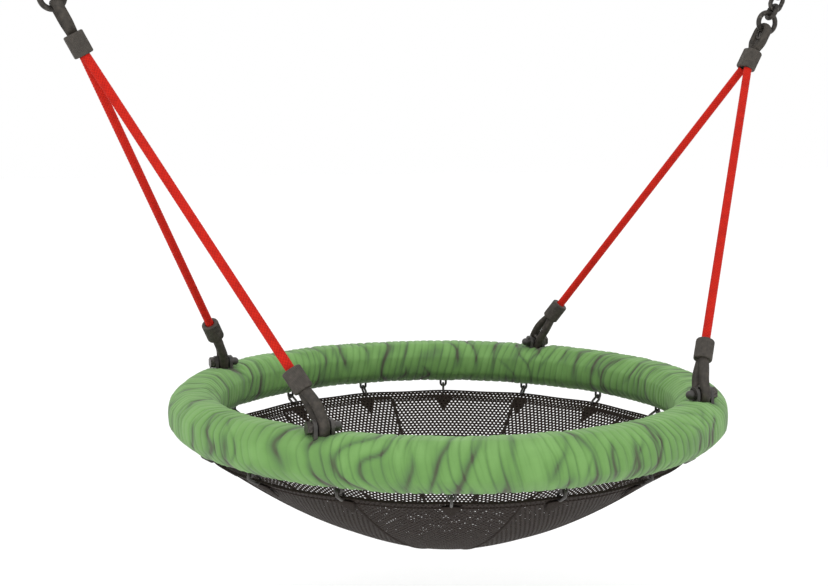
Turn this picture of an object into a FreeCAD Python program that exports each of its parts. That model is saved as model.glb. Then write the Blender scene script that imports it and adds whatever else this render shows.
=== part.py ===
import FreeCAD, Part
import math
import os

import Sketcher

# Nest swing seat: a padded steel ring with a net basket tied under it. Two rope hangers
# lead up to a short chain on each side.
# Origin: middle of the hanging line, which joins the two upper chain pivots. X runs along
# the beam, Z is up. Ring pieces are laid out about the ring's centre and lowered by `drop`.

SIZES = {
    # padded ring
    "ringradius": 475.0,
    "tubediameter": 42.4,
    "tubewall": 2.6,
    "padheight": 91.0,
    "padflat": 10.0,
    "coverskin": 1.5,
    "skingap": 0.2,
    # hanger brackets and their bolts
    "hangerangle": 42.3,
    "boltrise": 5.0,
    "boltoffset": 5.0,
    "boltdiameter": 12.0,
    "boltclearance": 0.2,
    "cheek": 6.0,
    "cheekwidth": 26.0,
    "webheight": 6.0,
    "bracketgap": 1.0,
    "headheight": 7.5,
    "headreach": 7.0,
    "washerreach": 9.0,
    "washerheight": 2.0,
    "capheight": 13.0,
    "capwall": 2.0,
    "bushgap": 0.1,
    "boltend": 2.0,
    # rope eyes and their thimbles
    "eyelength": 64.0,
    "lowereyelength": 88.0,
    "kneelength": 20.0,
    "kneelap": 5.0,
    "eyeradius": 21.0,
    "eyehole": 11.0,
    "eyewidth": 20.0,
    "eyeneck": 16.0,
    "eyeround": 4.5,
    "sidegap": 1.5,
    "thimblebead": 4.0,
    "thimbleinner": 9.0,
    # ropes and ferrules
    "ropediameter": 16.0,
    "ropegap": 0.4,
    "ropeseat": 12.0,
    "ferrulelength": 40.0,
    "ferrulediameter": 34.0,
    "topferrulewall": 5.0,
    "ferrulechamfer": 2.0,
    # hanging geometry, measured from the ring's centre
    "hangspread": 660.0,
    "hangheight": 641.0,
    # chain: a round ring link, a short link, a chain link and the hook link
    "ringbar": 10.0,
    "ringroom": 10.0,
    "chainbar": 9.0,
    "linkroom": 7.0,
    "shortplay": 1.0,
    "chainplay": 9.0,
    "linkgap": 0.3,
    "pivotgap": 0.5,
    # ties
    "tiecount": 16,
    "tieinset": 5.0,
    "tiebar": 5.0,
    "tieplay": 2.0,
    "staplereach": 11.5,
    "loopreach": 7.0,
    "loopgap": 0.2,
    "legclearance": 0.3,
    # basket
    "riminset": 18.0,
    "rimfall": 8.0,
    "basketdepth": 206.0,
    "netthickness": 3.0,
    "hemwidth": 25.0,
    "patchwidth": 34.0,
    "patchlength": 46.0,
    "patchthickness": 2.0,
    "eyeletplay": 4.5,
    "patchgap": 0.4,
}

BASKET_POWER = 1.7  # the basket's depth falls with this power of the distance from its centre
PROFILE_POINTS = 9
FOAM_GAPS = 2  # the foam keeps this many bracket gaps away from a bracket

# Sizes that follow from the ones above.
FOLLOWING = {
    "boltheight": "padheight / 2 + boltrise",
    "forkgap": "eyewidth + 2 * sidegap",
    "forkwidth": "forkgap + 2 * cheek",
    "headwidth": "boltdiameter + headreach",
    "washerdiameter": "boltdiameter + washerreach",
    "capradius": "boltdiameter / 2 + capwall",
    "bushdiameter": "2 * (thimbleinner - bushgap)",
    "topferrulewidth": "2 * (ropediameter + topferrulewall)",
    "ringinner": "eyewidth + ringroom",
    "chainwidth": "3 * chainbar + linkroom",
    "shortpitch": "ringbar + chainbar + shortplay",
    "chainpitch": "2 * chainbar + chainplay",
    "tieradius": "ringradius - tieinset",
    "staplewidth": "3 * tiebar + tieplay",
    "loopwidth": "3 * tiebar + tieplay",
    "stapledrop": "padheight / 2 + staplereach",
    "rimradius": "ringradius - riminset",
    "rimdrop": "stapledrop + rimfall",
    "eyelet": "tiebar + eyeletplay",
}

doc = FreeCAD.newDocument("nest_swing_seat")
sheet = doc.addObject("Spreadsheet::Sheet", "Sizes")
for row, (alias, value) in enumerate((SIZES | FOLLOWING).items(), start=1):
    sheet.set("A%d" % row, alias)
    sheet.set("B%d" % row, "=" + value if alias in FOLLOWING else str(value))
    sheet.setAlias("B%d" % row, alias)
doc.recompute()

X = FreeCAD.Vector(1, 0, 0)
Y = FreeCAD.Vector(0, 1, 0)
Z = FreeCAD.Vector(0, 0, 1)
parts = []


def size(name):
    return float(getattr(sheet, name))


def keep(piece, label):
    piece.Label = label
    parts.append(piece)
    return piece


def bind(piece, **expressions):
    for name, expression in expressions.items():
        piece.setExpression(name, expression)


def shift(piece, x=None, y=None, z=None):
    """Binds the piece's position to sheet formulas."""
    for axis, expression in (("x", x), ("y", y), ("z", z)):
        if expression:
            piece.setExpression(".Placement.Base." + axis, expression)


def turn(axis, angle):
    return FreeCAD.Rotation(axis, angle)


def frame_at(place, up, across):
    """A placement at a point, with local Z along `up` and local X nearly along `across`."""
    side = up.cross(across)
    return FreeCAD.Placement(place, FreeCAD.Rotation(across, side, up, "ZXY"))


# ---------------------------------------------------------------- hanging geometry

HANGERS = {
    "right_back": (1, 1),
    "right_front": (1, -1),
    "left_back": (-1, 1),
    "left_front": (-1, -1),
}
SIDES = {"left": -1, "right": 1}

bolt_height = size("boltheight")
bolt_angle = math.radians(size("hangerangle"))


def bolt_centre(side, end):
    """Bolt centre seen from the ring's centre; it sits a little outside the tube's middle."""
    reach = size("ringradius") + size("boltoffset")
    x = side * reach * math.cos(bolt_angle)
    y = end * reach * math.sin(bolt_angle)
    return FreeCAD.Vector(x, y, bolt_height)


def mouth(side):
    """Centre of the top ferrule's mouth, where a side's two ropes meet."""
    return FreeCAD.Vector(side * size("hangspread"), 0, size("hangheight"))


def pull_line(side, end):
    """The rope's pull seen along its bolt, which lies along X: an eye turns into this line."""
    pull = mouth(side) - bolt_centre(side, end)
    pull.x = 0
    return pull.normalize()


def knee(side, end):
    """Where a lower eye bends from its bolt's plane into the line of the rope."""
    return bolt_centre(side, end) + pull_line(side, end) * size("kneelength")


def chain_line(side):
    """Direction of the chain: the resultant pull of the side's two ropes."""
    foot = knee(side, 1)
    foot.y = 0
    return (mouth(side) - foot).normalize()


def rope_top(side, end):
    """Where a rope's axis crosses the mouth, beside the other rope and clear of it."""
    line = (mouth(side) - knee(side, end)).normalize()
    slant = line.dot(chain_line(side))
    offset = size("ropediameter") / 2 / slant + size("ropegap") / 2
    return mouth(side) + Y * (end * offset)


def rope_line(side, end):
    return (rope_top(side, end) - knee(side, end)).normalize()


# Distances from a knee along its rope's line: to the eye's neck, and to the rope's end.
neck_reach = size("lowereyelength") - size("eyeradius") - size("kneelength")
rope_start = neck_reach + size("ferrulelength") - size("ropeseat")


# Distances up the chain line from the mouth to the middle of each link.
eye_centre = size("ferrulelength") + size("eyelength") - size("eyeradius")
ring_low = eye_centre + size("thimbleinner") - size("pivotgap") - size("ringbar") / 2
ring_centre = ring_low + (size("ringinner") + size("ringbar")) / 2
ring_top_inner = ring_centre + size("ringinner") / 2
short_low_inner = ring_top_inner - size("linkgap")
short_centre = short_low_inner + size("shortpitch") / 2
chain_low_inner = short_low_inner + size("shortpitch") - size("linkgap")
chain_centre = chain_low_inner + size("chainpitch") / 2
hook_low_inner = chain_low_inner + size("chainpitch") - size("pivotgap")
hook_centre = hook_low_inner + size("chainpitch") / 2
hanging_point = chain_low_inner + size("chainpitch") + size("chainbar") / 2

drop = size("hangheight") + hanging_point * chain_line(1).z
ring_middle = FreeCAD.Vector(0, 0, -drop)


def along_chain(side, distance):
    return ring_middle + mouth(side) + chain_line(side) * distance


# ---------------------------------------------------------------- building blocks


def new_body(name):
    body = doc.addObject("PartDesign::Body", name)
    body.AllowCompound = True
    return body


def new_sketch(body, role, name):
    """A sketch on one of the body's own origin planes."""
    planes = [f for f in body.Origin.OriginFeatures if f.Role == role]
    sketch = body.newObject("Sketcher::SketchObject", name)
    sketch.AttachmentSupport = [(planes[0], "")]
    sketch.MapMode = "FlatFace"
    return sketch


def rule(sketch, kind, *where):
    return sketch.addConstraint(Sketcher.Constraint(kind, *where))


def dimension(sketch, expression, kind, *where):
    """A sketch dimension whose value comes from the sheet."""
    number = rule(sketch, kind, *where)
    sketch.setExpression("Constraints[%d]" % number, expression)
    return number


def ring_circle(sketch, radius_expression, radius):
    """A circle of the ring's section, centred on the ring's centre line."""
    centre = FreeCAD.Vector(size("ringradius"), 0, 0)
    circle = sketch.addGeometry(Part.Circle(centre, Z, radius))
    rule(sketch, "PointOnObject", circle, 3, -1)
    dimension(sketch, "Sizes.ringradius", "DistanceX", -1, 1, circle, 3, size("ringradius"))
    dimension(sketch, radius_expression, "Radius", circle, radius)


def pad_outline(sketch, inset, inset_expression):
    """The pad's rounded section, set in from the cover's outside by an inset."""
    radius = size("padheight") / 2 - inset
    half = size("padflat") / 2
    middle = size("ringradius")
    outer = FreeCAD.Vector(middle + half, 0, 0)
    inner = FreeCAD.Vector(middle - half, 0, 0)
    rise = FreeCAD.Vector(0, radius, 0)
    quarter = math.pi / 2
    top = sketch.addGeometry(Part.LineSegment(outer + rise, inner + rise))
    left = sketch.addGeometry(Part.ArcOfCircle(Part.Circle(inner, Z, radius), quarter, 3 * quarter))
    low = sketch.addGeometry(Part.LineSegment(inner - rise, outer - rise))
    right = sketch.addGeometry(Part.ArcOfCircle(Part.Circle(outer, Z, radius), -quarter, quarter))
    for first, second in ((top, left), (left, low), (low, right), (right, top)):
        rule(sketch, "Tangent", first, 2, second, 1)
    rule(sketch, "Horizontal", top)
    rule(sketch, "PointOnObject", left, 3, -1)
    rule(sketch, "PointOnObject", right, 3, -1)
    dimension(sketch, "Sizes.ringradius + Sizes.padflat / 2", "DistanceX", -1, 1, right, 3, middle + half)
    dimension(sketch, "Sizes.ringradius - Sizes.padflat / 2", "DistanceX", -1, 1, left, 3, middle - half)
    dimension(sketch, "Sizes.padheight / 2 - " + inset_expression, "Radius", right, radius)


def revolve(body, sketch, angle=360.0):
    """Turns a section about the ring's axis, evenly to both sides of the section's plane."""
    turned = body.newObject("PartDesign::Revolution", body.Name + "_turned")
    turned.Profile = sketch
    turned.ReferenceAxis = (sketch, ["V_Axis"])
    turned.Midplane = True
    turned.Angle = angle
    sketch.Visibility = False
    doc.recompute()
    return turned


def pad(body, sketch, expression):
    """Extrudes a sketch evenly to both sides."""
    block = body.newObject("PartDesign::Pad", body.Name + "_pad")
    block.Profile = sketch
    block.SideType = "Symmetric"
    block.setExpression("Length", expression)
    doc.recompute()
    return block


def pocket(body, sketch, name):
    """Cuts a sketch through the whole body, both ways, and checks that it cut something."""
    before = body.Shape.Volume
    cut = body.newObject("PartDesign::Pocket", name)
    cut.Profile = sketch
    cut.SideType = "Symmetric"
    cut.Type = "ThroughAll"
    doc.recompute()
    if body.Shape.Volume > before - 1.0:
        raise ValueError(name + " cuts nothing")
    return cut


def cut(name, base, tool):
    piece = doc.addObject("Part::Cut", name)
    piece.Base = base
    piece.Tool = tool
    return piece


def fuse(name, pieces):
    piece = doc.addObject("Part::MultiFuse", name)
    piece.Shapes = pieces
    return piece


def gather(name, pieces):
    piece = doc.addObject("Part::Compound", name)
    piece.Links = pieces
    return piece


def cylinder(name, radius, height, x=None, y=None, z=None, rotation=None):
    """A Part::Cylinder whose sizes and place are sheet formulas."""
    piece = doc.addObject("Part::Cylinder", name)
    bind(piece, Radius=radius, Height=height)
    if rotation:
        piece.Placement = FreeCAD.Placement(FreeCAD.Vector(), rotation)
    shift(piece, x, y, z)
    return piece


def copies(label, master, places):
    """One node of separate equal solids: the master's shape at each place."""
    group = doc.addObject("Part::Feature", label)
    group.Shape = Part.makeCompound([master.Shape.transformed(p.toMatrix()) for p in places])
    group.Placement = FreeCAD.Placement(ring_middle, FreeCAD.Rotation())
    return keep(group, label)


def around_ring(count):
    return [FreeCAD.Placement(FreeCAD.Vector(), turn(Z, 360.0 * n / count)) for n in range(int(count))]


# ---------------------------------------------------------------- chain


def oval_link(name, bar, width, pitch):
    """A chain link in the local XZ plane: two straight sides and two half-round ends.

    `pitch` is the inside length, `width` the outside width.
    """
    bend = "(%s - %s) / 2" % (width, bar)
    straight = "(%s - %s + 2 * %s)" % (pitch, width, bar)
    pieces = []
    for sign, end in (("", "upper"), ("-", "lower")):
        half = doc.addObject("Part::Torus", "%s_%s" % (name, end))
        bind(half, Radius1=bend, Radius2=bar + " / 2")
        half.Angle3 = 180.0
        half.Placement = FreeCAD.Placement(FreeCAD.Vector(), turn(X, 90 if end == "upper" else -90))
        shift(half, z="%s%s / 2" % (sign, straight))
        pieces.append(half)
    for sign, side in (("", "near"), ("-", "far")):
        pieces.append(
            cylinder("%s_%s" % (name, side), bar + " / 2", straight, x=sign + bend, z="-%s / 2" % straight)
        )
    return fuse(name, pieces)


def chain_piece(label, side, piece, distance, faces_beam):
    """Places a link on the chain line; alternate links are turned a quarter."""
    line = chain_line(side)
    across = Y if not faces_beam else Y.cross(line)
    piece.Placement = frame_at(along_chain(side, distance), line, across)
    keep(piece, label)


def make_chain(name, side):
    ring_link = doc.addObject("Part::Torus", name + "_ring_link")
    bind(ring_link, Radius1="(Sizes.ringinner + Sizes.ringbar) / 2", Radius2="Sizes.ringbar / 2")
    line = chain_line(side)
    ring_link.Placement = frame_at(along_chain(side, ring_centre), Y, line)
    keep(ring_link, name + "_ring_link")
    links = (
        ("short_link", "Sizes.shortpitch", short_centre, False),
        ("chain_link", "Sizes.chainpitch", chain_centre, True),
        ("hook_link", "Sizes.chainpitch", hook_centre, False),
    )
    for kind, pitch, distance, faces_beam in links:
        label = name + "_" + kind
        link = oval_link(label, "Sizes.chainbar", "Sizes.chainwidth", pitch)
        chain_piece(label, side, link, distance, faces_beam)


# ---------------------------------------------------------------- rope ends


def eye_sketch(sketch, long):
    """A teardrop with a round hole: the neck is at the local origin, the round end above it."""
    centre = FreeCAD.Vector(0, size(long) - size("eyeradius"), 0)
    radius = size("eyeradius")
    neck = size("eyeneck") / 2
    reach = math.hypot(centre.y, neck)
    tilt = math.acos(radius / reach) - math.atan2(centre.y, neck)
    tangent = centre + FreeCAD.Vector(radius * math.cos(tilt), radius * math.sin(tilt), 0)
    mirror = FreeCAD.Vector(-tangent.x, tangent.y, 0)
    base = sketch.addGeometry(Part.LineSegment(FreeCAD.Vector(-neck, 0, 0), FreeCAD.Vector(neck, 0, 0)))
    near = sketch.addGeometry(Part.LineSegment(FreeCAD.Vector(neck, 0, 0), tangent))
    crown = sketch.addGeometry(Part.ArcOfCircle(Part.Circle(centre, Z, radius), tilt, math.pi - tilt))
    far = sketch.addGeometry(Part.LineSegment(mirror, FreeCAD.Vector(-neck, 0, 0)))
    hole = sketch.addGeometry(Part.Circle(centre, Z, size("eyehole")))
    rule(sketch, "Coincident", base, 2, near, 1)
    rule(sketch, "Tangent", near, 2, crown, 1)
    rule(sketch, "Tangent", crown, 2, far, 1)
    rule(sketch, "Coincident", far, 2, base, 1)
    rule(sketch, "Coincident", hole, 3, crown, 3)
    rule(sketch, "PointOnObject", base, 2, -1)
    rule(sketch, "Symmetric", base, 1, base, 2, -2)
    rule(sketch, "PointOnObject", crown, 3, -2)
    dimension(sketch, "Sizes.eyeneck / 2", "DistanceX", -1, 1, base, 2, neck)
    height = "Sizes.%s - Sizes.eyeradius" % long
    dimension(sketch, height, "DistanceY", -1, 1, crown, 3, centre.y)
    dimension(sketch, "Sizes.eyeradius", "Radius", crown, radius)
    dimension(sketch, "Sizes.eyehole", "Radius", hole, size("eyehole"))


def rounded_edges(shape):
    """Names of the edges on the eye's two flat faces, apart from the neck's."""
    names = []
    for number, edge in enumerate(shape.Edges, start=1):
        box = edge.BoundBox
        flat = box.YLength < 0.01 and abs(abs(box.YMax) - size("eyewidth") / 2) < 0.01
        if flat and box.ZMax > 0.01:
            names.append("Edge%d" % number)
    return names


def eye_blank(label, long):
    """The strand loop on a rope's end, rounded all along."""
    body = new_body(label + "_body")
    sketch = new_sketch(body, "XZ_Plane", label + "_sketch")
    eye_sketch(sketch, long)
    block = pad(body, sketch, "Sizes.eyewidth")
    rounding = body.newObject("PartDesign::Fillet", label + "_rounding")
    rounding.Base = (block, rounded_edges(block.Shape))
    rounding.setExpression("Radius", "Sizes.eyeround")
    doc.recompute()
    return body


def make_eye(label, long):
    """A flat eye, grooved for its thimble."""
    return cut(label, eye_blank(label, long), make_thimble(label + "_groove", long))


def eye_block(name, low, height):
    """A slab right across an eye, square to its length."""
    slab = doc.addObject("Part::Box", name)
    bind(slab, Length="4 * Sizes.eyeradius", Width="4 * Sizes.eyeradius", Height=height)
    shift(slab, x="-2 * Sizes.eyeradius", y="-2 * Sizes.eyeradius", z=low)
    return slab


def make_bent_eye(label, side, end):
    """An eye that stands square to its bolt up to the knee and then follows the rope.

    Both halves are the flat eye, cut off near the knee and overlapping there.
    """
    place = FreeCAD.Placement(ring_middle, FreeCAD.Rotation())
    upright = place.multiply(eye_frame(side, end))
    leaning = place.multiply(neck_frame(side, end))
    ring = eye_blank(label + "_ring", "lowereyelength")
    neck_end = "Sizes.lowereyelength - Sizes.eyeradius - Sizes.kneelength"
    above = eye_block(label + "_above", "-1", neck_end + " + 1")
    low = cut(label + "_low", ring, above)
    low.Placement = upright
    neck = eye_blank(label + "_neck", "lowereyelength")
    below = eye_block(label + "_below", neck_end + " + Sizes.kneelap", "Sizes.lowereyelength")
    high = cut(label + "_high", neck, below)
    high.Placement = leaning
    bore = cylinder(label + "_bore", "Sizes.eyehole", "4 * Sizes.eyewidth", rotation=turn(X, 90))
    middle = "Sizes.lowereyelength - Sizes.eyeradius"
    shift(bore, y="2 * Sizes.eyewidth", z=middle)
    groove = gather(label + "_inside", [make_thimble(label + "_groove", "lowereyelength"), bore])
    groove.Placement = upright
    return cut(label, fuse(label + "_whole", [low, high]), groove)


def make_thimble(name, long):
    """The round steel bead that lines an eye, in the eye's own axes."""
    bead = doc.addObject("Part::Torus", name)
    bind(bead, Radius1="Sizes.thimbleinner + Sizes.thimblebead", Radius2="Sizes.thimblebead")
    bead.Placement = FreeCAD.Placement(FreeCAD.Vector(), turn(X, 90))
    shift(bead, z="Sizes.%s - Sizes.eyeradius" % long)
    return bead


def chamfered_edges(shape, low, high):
    names = []
    for number, edge in enumerate(shape.Edges, start=1):
        box = edge.BoundBox
        if box.ZLength < 0.01 and (abs(box.ZMin - low) < 0.01 or abs(box.ZMin - high) < 0.01):
            names.append("Edge%d" % number)
    return names


def make_ferrule(label, width_expression, width):
    """A crimped sleeve, centred on its length; a wider width makes it oval along local Y."""
    body = new_body(label + "_body")
    sketch = new_sketch(body, "XY_Plane", label + "_sketch")
    radius = size("ferrulediameter") / 2
    half = width / 2 - radius
    if half > 0:
        quarter = math.pi / 2
        high = FreeCAD.Vector(0, half, 0)
        side = FreeCAD.Vector(radius, 0, 0)
        top = sketch.addGeometry(Part.ArcOfCircle(Part.Circle(high, Z, radius), 0, 2 * quarter))
        left = sketch.addGeometry(Part.LineSegment(high - side, -high - side))
        low = sketch.addGeometry(Part.ArcOfCircle(Part.Circle(-high, Z, radius), 2 * quarter, 4 * quarter))
        right = sketch.addGeometry(Part.LineSegment(-high + side, high + side))
        for first, second in ((top, left), (left, low), (low, right), (right, top)):
            rule(sketch, "Tangent", first, 2, second, 1)
        rule(sketch, "Vertical", left)
        rule(sketch, "PointOnObject", top, 3, -2)
        rule(sketch, "Symmetric", top, 3, low, 3, -1, 1)
        spread = width_expression + " / 2 - Sizes.ferrulediameter / 2"
        dimension(sketch, spread, "DistanceY", -1, 1, top, 3, half)
        dimension(sketch, "Sizes.ferrulediameter / 2", "Radius", top, radius)
    else:
        circle = sketch.addGeometry(Part.Circle(FreeCAD.Vector(), Z, radius))
        rule(sketch, "Coincident", circle, 3, -1, 1)
        dimension(sketch, "Sizes.ferrulediameter / 2", "Radius", circle, radius)
    block = pad(body, sketch, "Sizes.ferrulelength")
    chamfer = body.newObject("PartDesign::Chamfer", label + "_chamfer")
    end = size("ferrulelength") / 2
    chamfer.Base = (block, chamfered_edges(block.Shape, -end, end))
    chamfer.setExpression("Size", "Sizes.ferrulechamfer")
    doc.recompute()
    return body


def make_rope(label, side, end):
    """A straight taut rope from the lower ferrule's seat to the top ferrule's mouth."""
    low = knee(side, end)
    line = rope_line(side, end)
    start = rope_start
    spare = size("ropediameter")
    rope = doc.addObject("Part::Cylinder", label + "_run")
    rope.setExpression("Radius", "Sizes.ropediameter / 2")
    rope.Height = (rope_top(side, end) - low).Length - start + spare
    rope.Placement = frame_at(ring_middle + low + line * start, line, X)
    room = doc.addObject("Part::Box", label + "_mouth_plane")
    room.Length = room.Width = 4 * size("topferrulewidth")
    room.Height = 2 * spare
    corner = frame_at(ring_middle + mouth(side), chain_line(side), Y)
    half = -room.Length.Value / 2
    room.Placement = corner.multiply(FreeCAD.Placement(FreeCAD.Vector(half, half, 0), FreeCAD.Rotation()))
    keep(cut(label, rope, room), label)
    length = (rope_top(side, end) - low).Length - start
    area = math.pi * size("ropediameter") ** 2 / 4
    doc.recompute()
    volume = parts[-1].Shape.Volume
    share = volume / area / length
    print("%s: straight, axis %.1f mm, volume / (area x length) %.4f" % (label, length, share))


def eye_frame(side, end):
    """Lower eye up to its knee: the round end is about the bolt, which is local Y."""
    line = pull_line(side, end)
    far = bolt_centre(side, end) + line * (size("lowereyelength") - size("eyeradius"))
    return frame_at(far, line * -1, X.cross(line))


def neck_frame(side, end):
    """Lower eye above its knee: the neck is at the local origin."""
    line = rope_line(side, end)
    neck = knee(side, end) + line * neck_reach
    return frame_at(neck, line * -1, X.cross(line).normalize())


def make_lower_end(name, side, end):
    line = rope_line(side, end)
    keep(make_bent_eye("lower_eye_" + name, side, end), "lower_eye_" + name)
    sleeve = make_ferrule("lower_ferrule_" + name, "Sizes.ferrulediameter", size("ferrulediameter"))
    floor = "Sizes.ferrulelength / 2 - Sizes.ropeseat"
    bore = cylinder("seat_" + name, "Sizes.ropediameter / 2", "Sizes.ropeseat", z=floor)
    ferrule = cut("lower_ferrule_" + name, sleeve, bore)
    middle = neck_reach + size("ferrulelength") / 2
    ferrule.Placement = frame_at(ring_middle + knee(side, end) + line * middle, line, X)
    keep(ferrule, "lower_ferrule_" + name)
    make_rope("rope_" + name, side, end)


def make_top_end(name, side):
    line = chain_line(side)
    across = Y.cross(line)
    sleeve = make_ferrule("top_ferrule_" + name, "Sizes.topferrulewidth", size("topferrulewidth"))
    sleeve.Placement = frame_at(along_chain(side, size("ferrulelength") / 2), line, across)
    keep(sleeve, "top_ferrule_" + name)
    eye = make_eye("top_eye_" + name, "eyelength")
    eye.Placement = frame_at(along_chain(side, size("ferrulelength")), line, Y)
    keep(eye, "top_eye_" + name)


# ---------------------------------------------------------------- brackets and fasteners


def bracket_frame(side, end):
    """At the bolt's centre: local X along the bolt, pointing out of the ring; local Z up."""
    return frame_at(bolt_centre(side, end), Z, X * side)


def bracket_outline(sketch):
    """A cheek seen along the bolt: round over the bolt, straight down to the ring's tube."""
    radius = size("cheekwidth") / 2
    foot = -bolt_height
    corners = [FreeCAD.Vector(s * radius, z, 0) for s, z in ((1, 0), (-1, 0), (-1, foot), (1, foot))]
    crown = sketch.addGeometry(Part.ArcOfCircle(Part.Circle(FreeCAD.Vector(), Z, radius), 0, math.pi))
    far = sketch.addGeometry(Part.LineSegment(corners[1], corners[2]))
    base = sketch.addGeometry(Part.LineSegment(corners[2], corners[3]))
    near = sketch.addGeometry(Part.LineSegment(corners[3], corners[0]))
    rule(sketch, "Coincident", crown, 3, -1, 1)
    rule(sketch, "Tangent", crown, 2, far, 1)
    rule(sketch, "Coincident", far, 2, base, 1)
    rule(sketch, "Coincident", base, 2, near, 1)
    rule(sketch, "Tangent", near, 2, crown, 1)
    rule(sketch, "Vertical", far)
    rule(sketch, "Vertical", near)
    rule(sketch, "Horizontal", base)
    dimension(sketch, "Sizes.cheekwidth / 2", "Radius", crown, radius)
    dimension(sketch, "Sizes.boltheight", "DistanceY", base, 1, -1, 1, -foot)


def slot_outline(sketch):
    """The fork's gap, open at the top and closed by the web above the tube."""
    half = size("forkgap") / 2
    top = size("cheekwidth")
    floor = size("tubediameter") / 2 + size("webheight") - bolt_height
    points = [FreeCAD.Vector(x, y, 0) for x, y in ((-half, floor), (half, floor), (half, top), (-half, top))]
    lines = []
    for first, second in zip(points, points[1:] + points[:1]):
        lines.append(sketch.addGeometry(Part.LineSegment(first, second)))
    for first, second in zip(lines, lines[1:] + lines[:1]):
        rule(sketch, "Coincident", first, 2, second, 1)
    rule(sketch, "Vertical", lines[1])
    rule(sketch, "Horizontal", lines[2])
    rule(sketch, "Symmetric", lines[0], 1, lines[0], 2, -2)
    rule(sketch, "Vertical", lines[3])
    dimension(sketch, "Sizes.forkgap / 2", "DistanceX", -1, 1, lines[0], 2, half)
    depth = "Sizes.boltheight - Sizes.tubediameter / 2 - Sizes.webheight"
    dimension(sketch, depth, "DistanceY", lines[0], 1, -1, 1, -floor)
    dimension(sketch, "Sizes.cheekwidth", "DistanceY", -1, 1, lines[2], 1, top)


def make_bracket(name, side, end):
    """A welded fork, coped to sit on the ring's tube."""
    label = "hanger_bracket_" + name
    body = new_body(label + "_body")
    outline = new_sketch(body, "YZ_Plane", label + "_cheek")
    bracket_outline(outline)
    pad(body, outline, "Sizes.forkwidth")
    slot = new_sketch(body, "XZ_Plane", label + "_slot")
    slot_outline(slot)
    pocket(body, slot, label + "_gap")
    bore = new_sketch(body, "YZ_Plane", label + "_bore")
    circle = bore.addGeometry(Part.Circle(FreeCAD.Vector(), Z, size("boltdiameter") / 2))
    rule(bore, "Coincident", circle, 3, -1, 1)
    radius = "Sizes.boltdiameter / 2 + Sizes.boltclearance / 2"
    dimension(bore, radius, "Radius", circle, (size("boltdiameter") + size("boltclearance")) / 2)
    pocket(body, bore, label + "_hole")
    place = FreeCAD.Placement(ring_middle, FreeCAD.Rotation())
    body.Placement = place.multiply(bracket_frame(side, end))
    tube = doc.addObject("Part::Torus", label + "_cope")
    bind(tube, Radius1="Sizes.ringradius", Radius2="Sizes.tubediameter / 2")
    tube.Placement = place
    low = doc.addObject("Part::Box", label + "_below")
    low.Length = low.Width = 4 * size("cheekwidth")
    low.Height = bolt_height
    base = bolt_centre(side, end) + ring_middle
    base.z = -drop - low.Height.Value + size("tubediameter") / 4
    low.Placement.Base = base - (X + Y) * (low.Length.Value / 2)
    keep(cut(label, body, gather(label + "_off", [tube, low])), label)


def make_fasteners():
    """Hexagon bolts from outside, dome nuts inside, washers under both, and a bush on each."""
    half = "Sizes.forkwidth / 2"
    grip = half + " + Sizes.washerheight"
    along_x = turn(Y, 90)
    frames = [bracket_frame(*HANGERS[name]) for name in HANGERS]
    shank = cylinder("bolt_shank", "Sizes.boltdiameter / 2", "2 * (%s) + Sizes.boltend" % grip,
                     x="-(%s) - Sizes.boltend" % grip, rotation=along_x)
    head = doc.addObject("Part::Prism", "bolt_head")
    head.Polygon = 6
    bind(head, Circumradius="Sizes.headwidth / sqrt(3)", Height="Sizes.headheight")
    head.Placement = FreeCAD.Placement(FreeCAD.Vector(), along_x)
    shift(head, x=grip)
    bolt = fuse("bolt", [shank, head])
    flat = cylinder("washer_blank", "Sizes.washerdiameter / 2", "Sizes.washerheight", x=half,
                    rotation=along_x)
    back = cylinder("washer_back", "Sizes.washerdiameter / 2", "Sizes.washerheight",
                    x="-%s - Sizes.washerheight" % half, rotation=along_x)
    bore = cylinder("fastener_bore", "Sizes.boltdiameter / 2", "4 * (%s)" % grip, x="-2 * (%s)" % grip,
                    rotation=along_x)
    washer = cut("washer", gather("washer_pair", [flat, back]), bore)
    cap = cylinder("cap_base", "Sizes.capradius", "Sizes.capheight - Sizes.capradius",
                   x="-(%s) - Sizes.capheight + Sizes.capradius" % grip, rotation=along_x)
    dome = doc.addObject("Part::Sphere", "cap_dome")
    dome.setExpression("Radius", "Sizes.capradius")
    shift(dome, x="-(%s) - Sizes.capheight + Sizes.capradius" % grip)
    dome_room = cylinder("cap_room", "2 * Sizes.capradius", "2 * Sizes.capradius",
                         x="-(%s) - Sizes.capheight + Sizes.capradius" % grip, rotation=along_x)
    dome_half = cut("cap_dome_half", dome, dome_room)
    cap_bore = cylinder("cap_bore", "Sizes.boltdiameter / 2", "Sizes.boltend",
                        x="-(%s) - Sizes.boltend" % grip, rotation=along_x)
    nut = cut("nut", fuse("cap_blank", [cap, dome_half]), cap_bore)
    sleeve = cylinder("bush_blank", "Sizes.bushdiameter / 2", "Sizes.forkgap", x="-Sizes.forkgap / 2",
                      rotation=along_x)
    bush = cut("bush", sleeve, bore)
    doc.recompute()
    copies("hanger_bolts", bolt, frames)
    copies("hanger_washers", washer, frames)
    copies("hanger_cap_nuts", nut, frames)
    copies("hanger_bushes", bush, frames)


def make_thimbles():
    low = make_thimble("lower_thimble", "lowereyelength")
    bead = make_thimble("thimble", "eyelength")
    doc.recompute()
    copies("lower_thimbles", low, [eye_frame(*HANGERS[name]) for name in HANGERS])
    tops = []
    for side in SIDES.values():
        start = mouth(side) + chain_line(side) * size("ferrulelength")
        tops.append(frame_at(start, chain_line(side), Y))
    copies("top_thimbles", bead, tops)


# ---------------------------------------------------------------- padded ring


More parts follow.
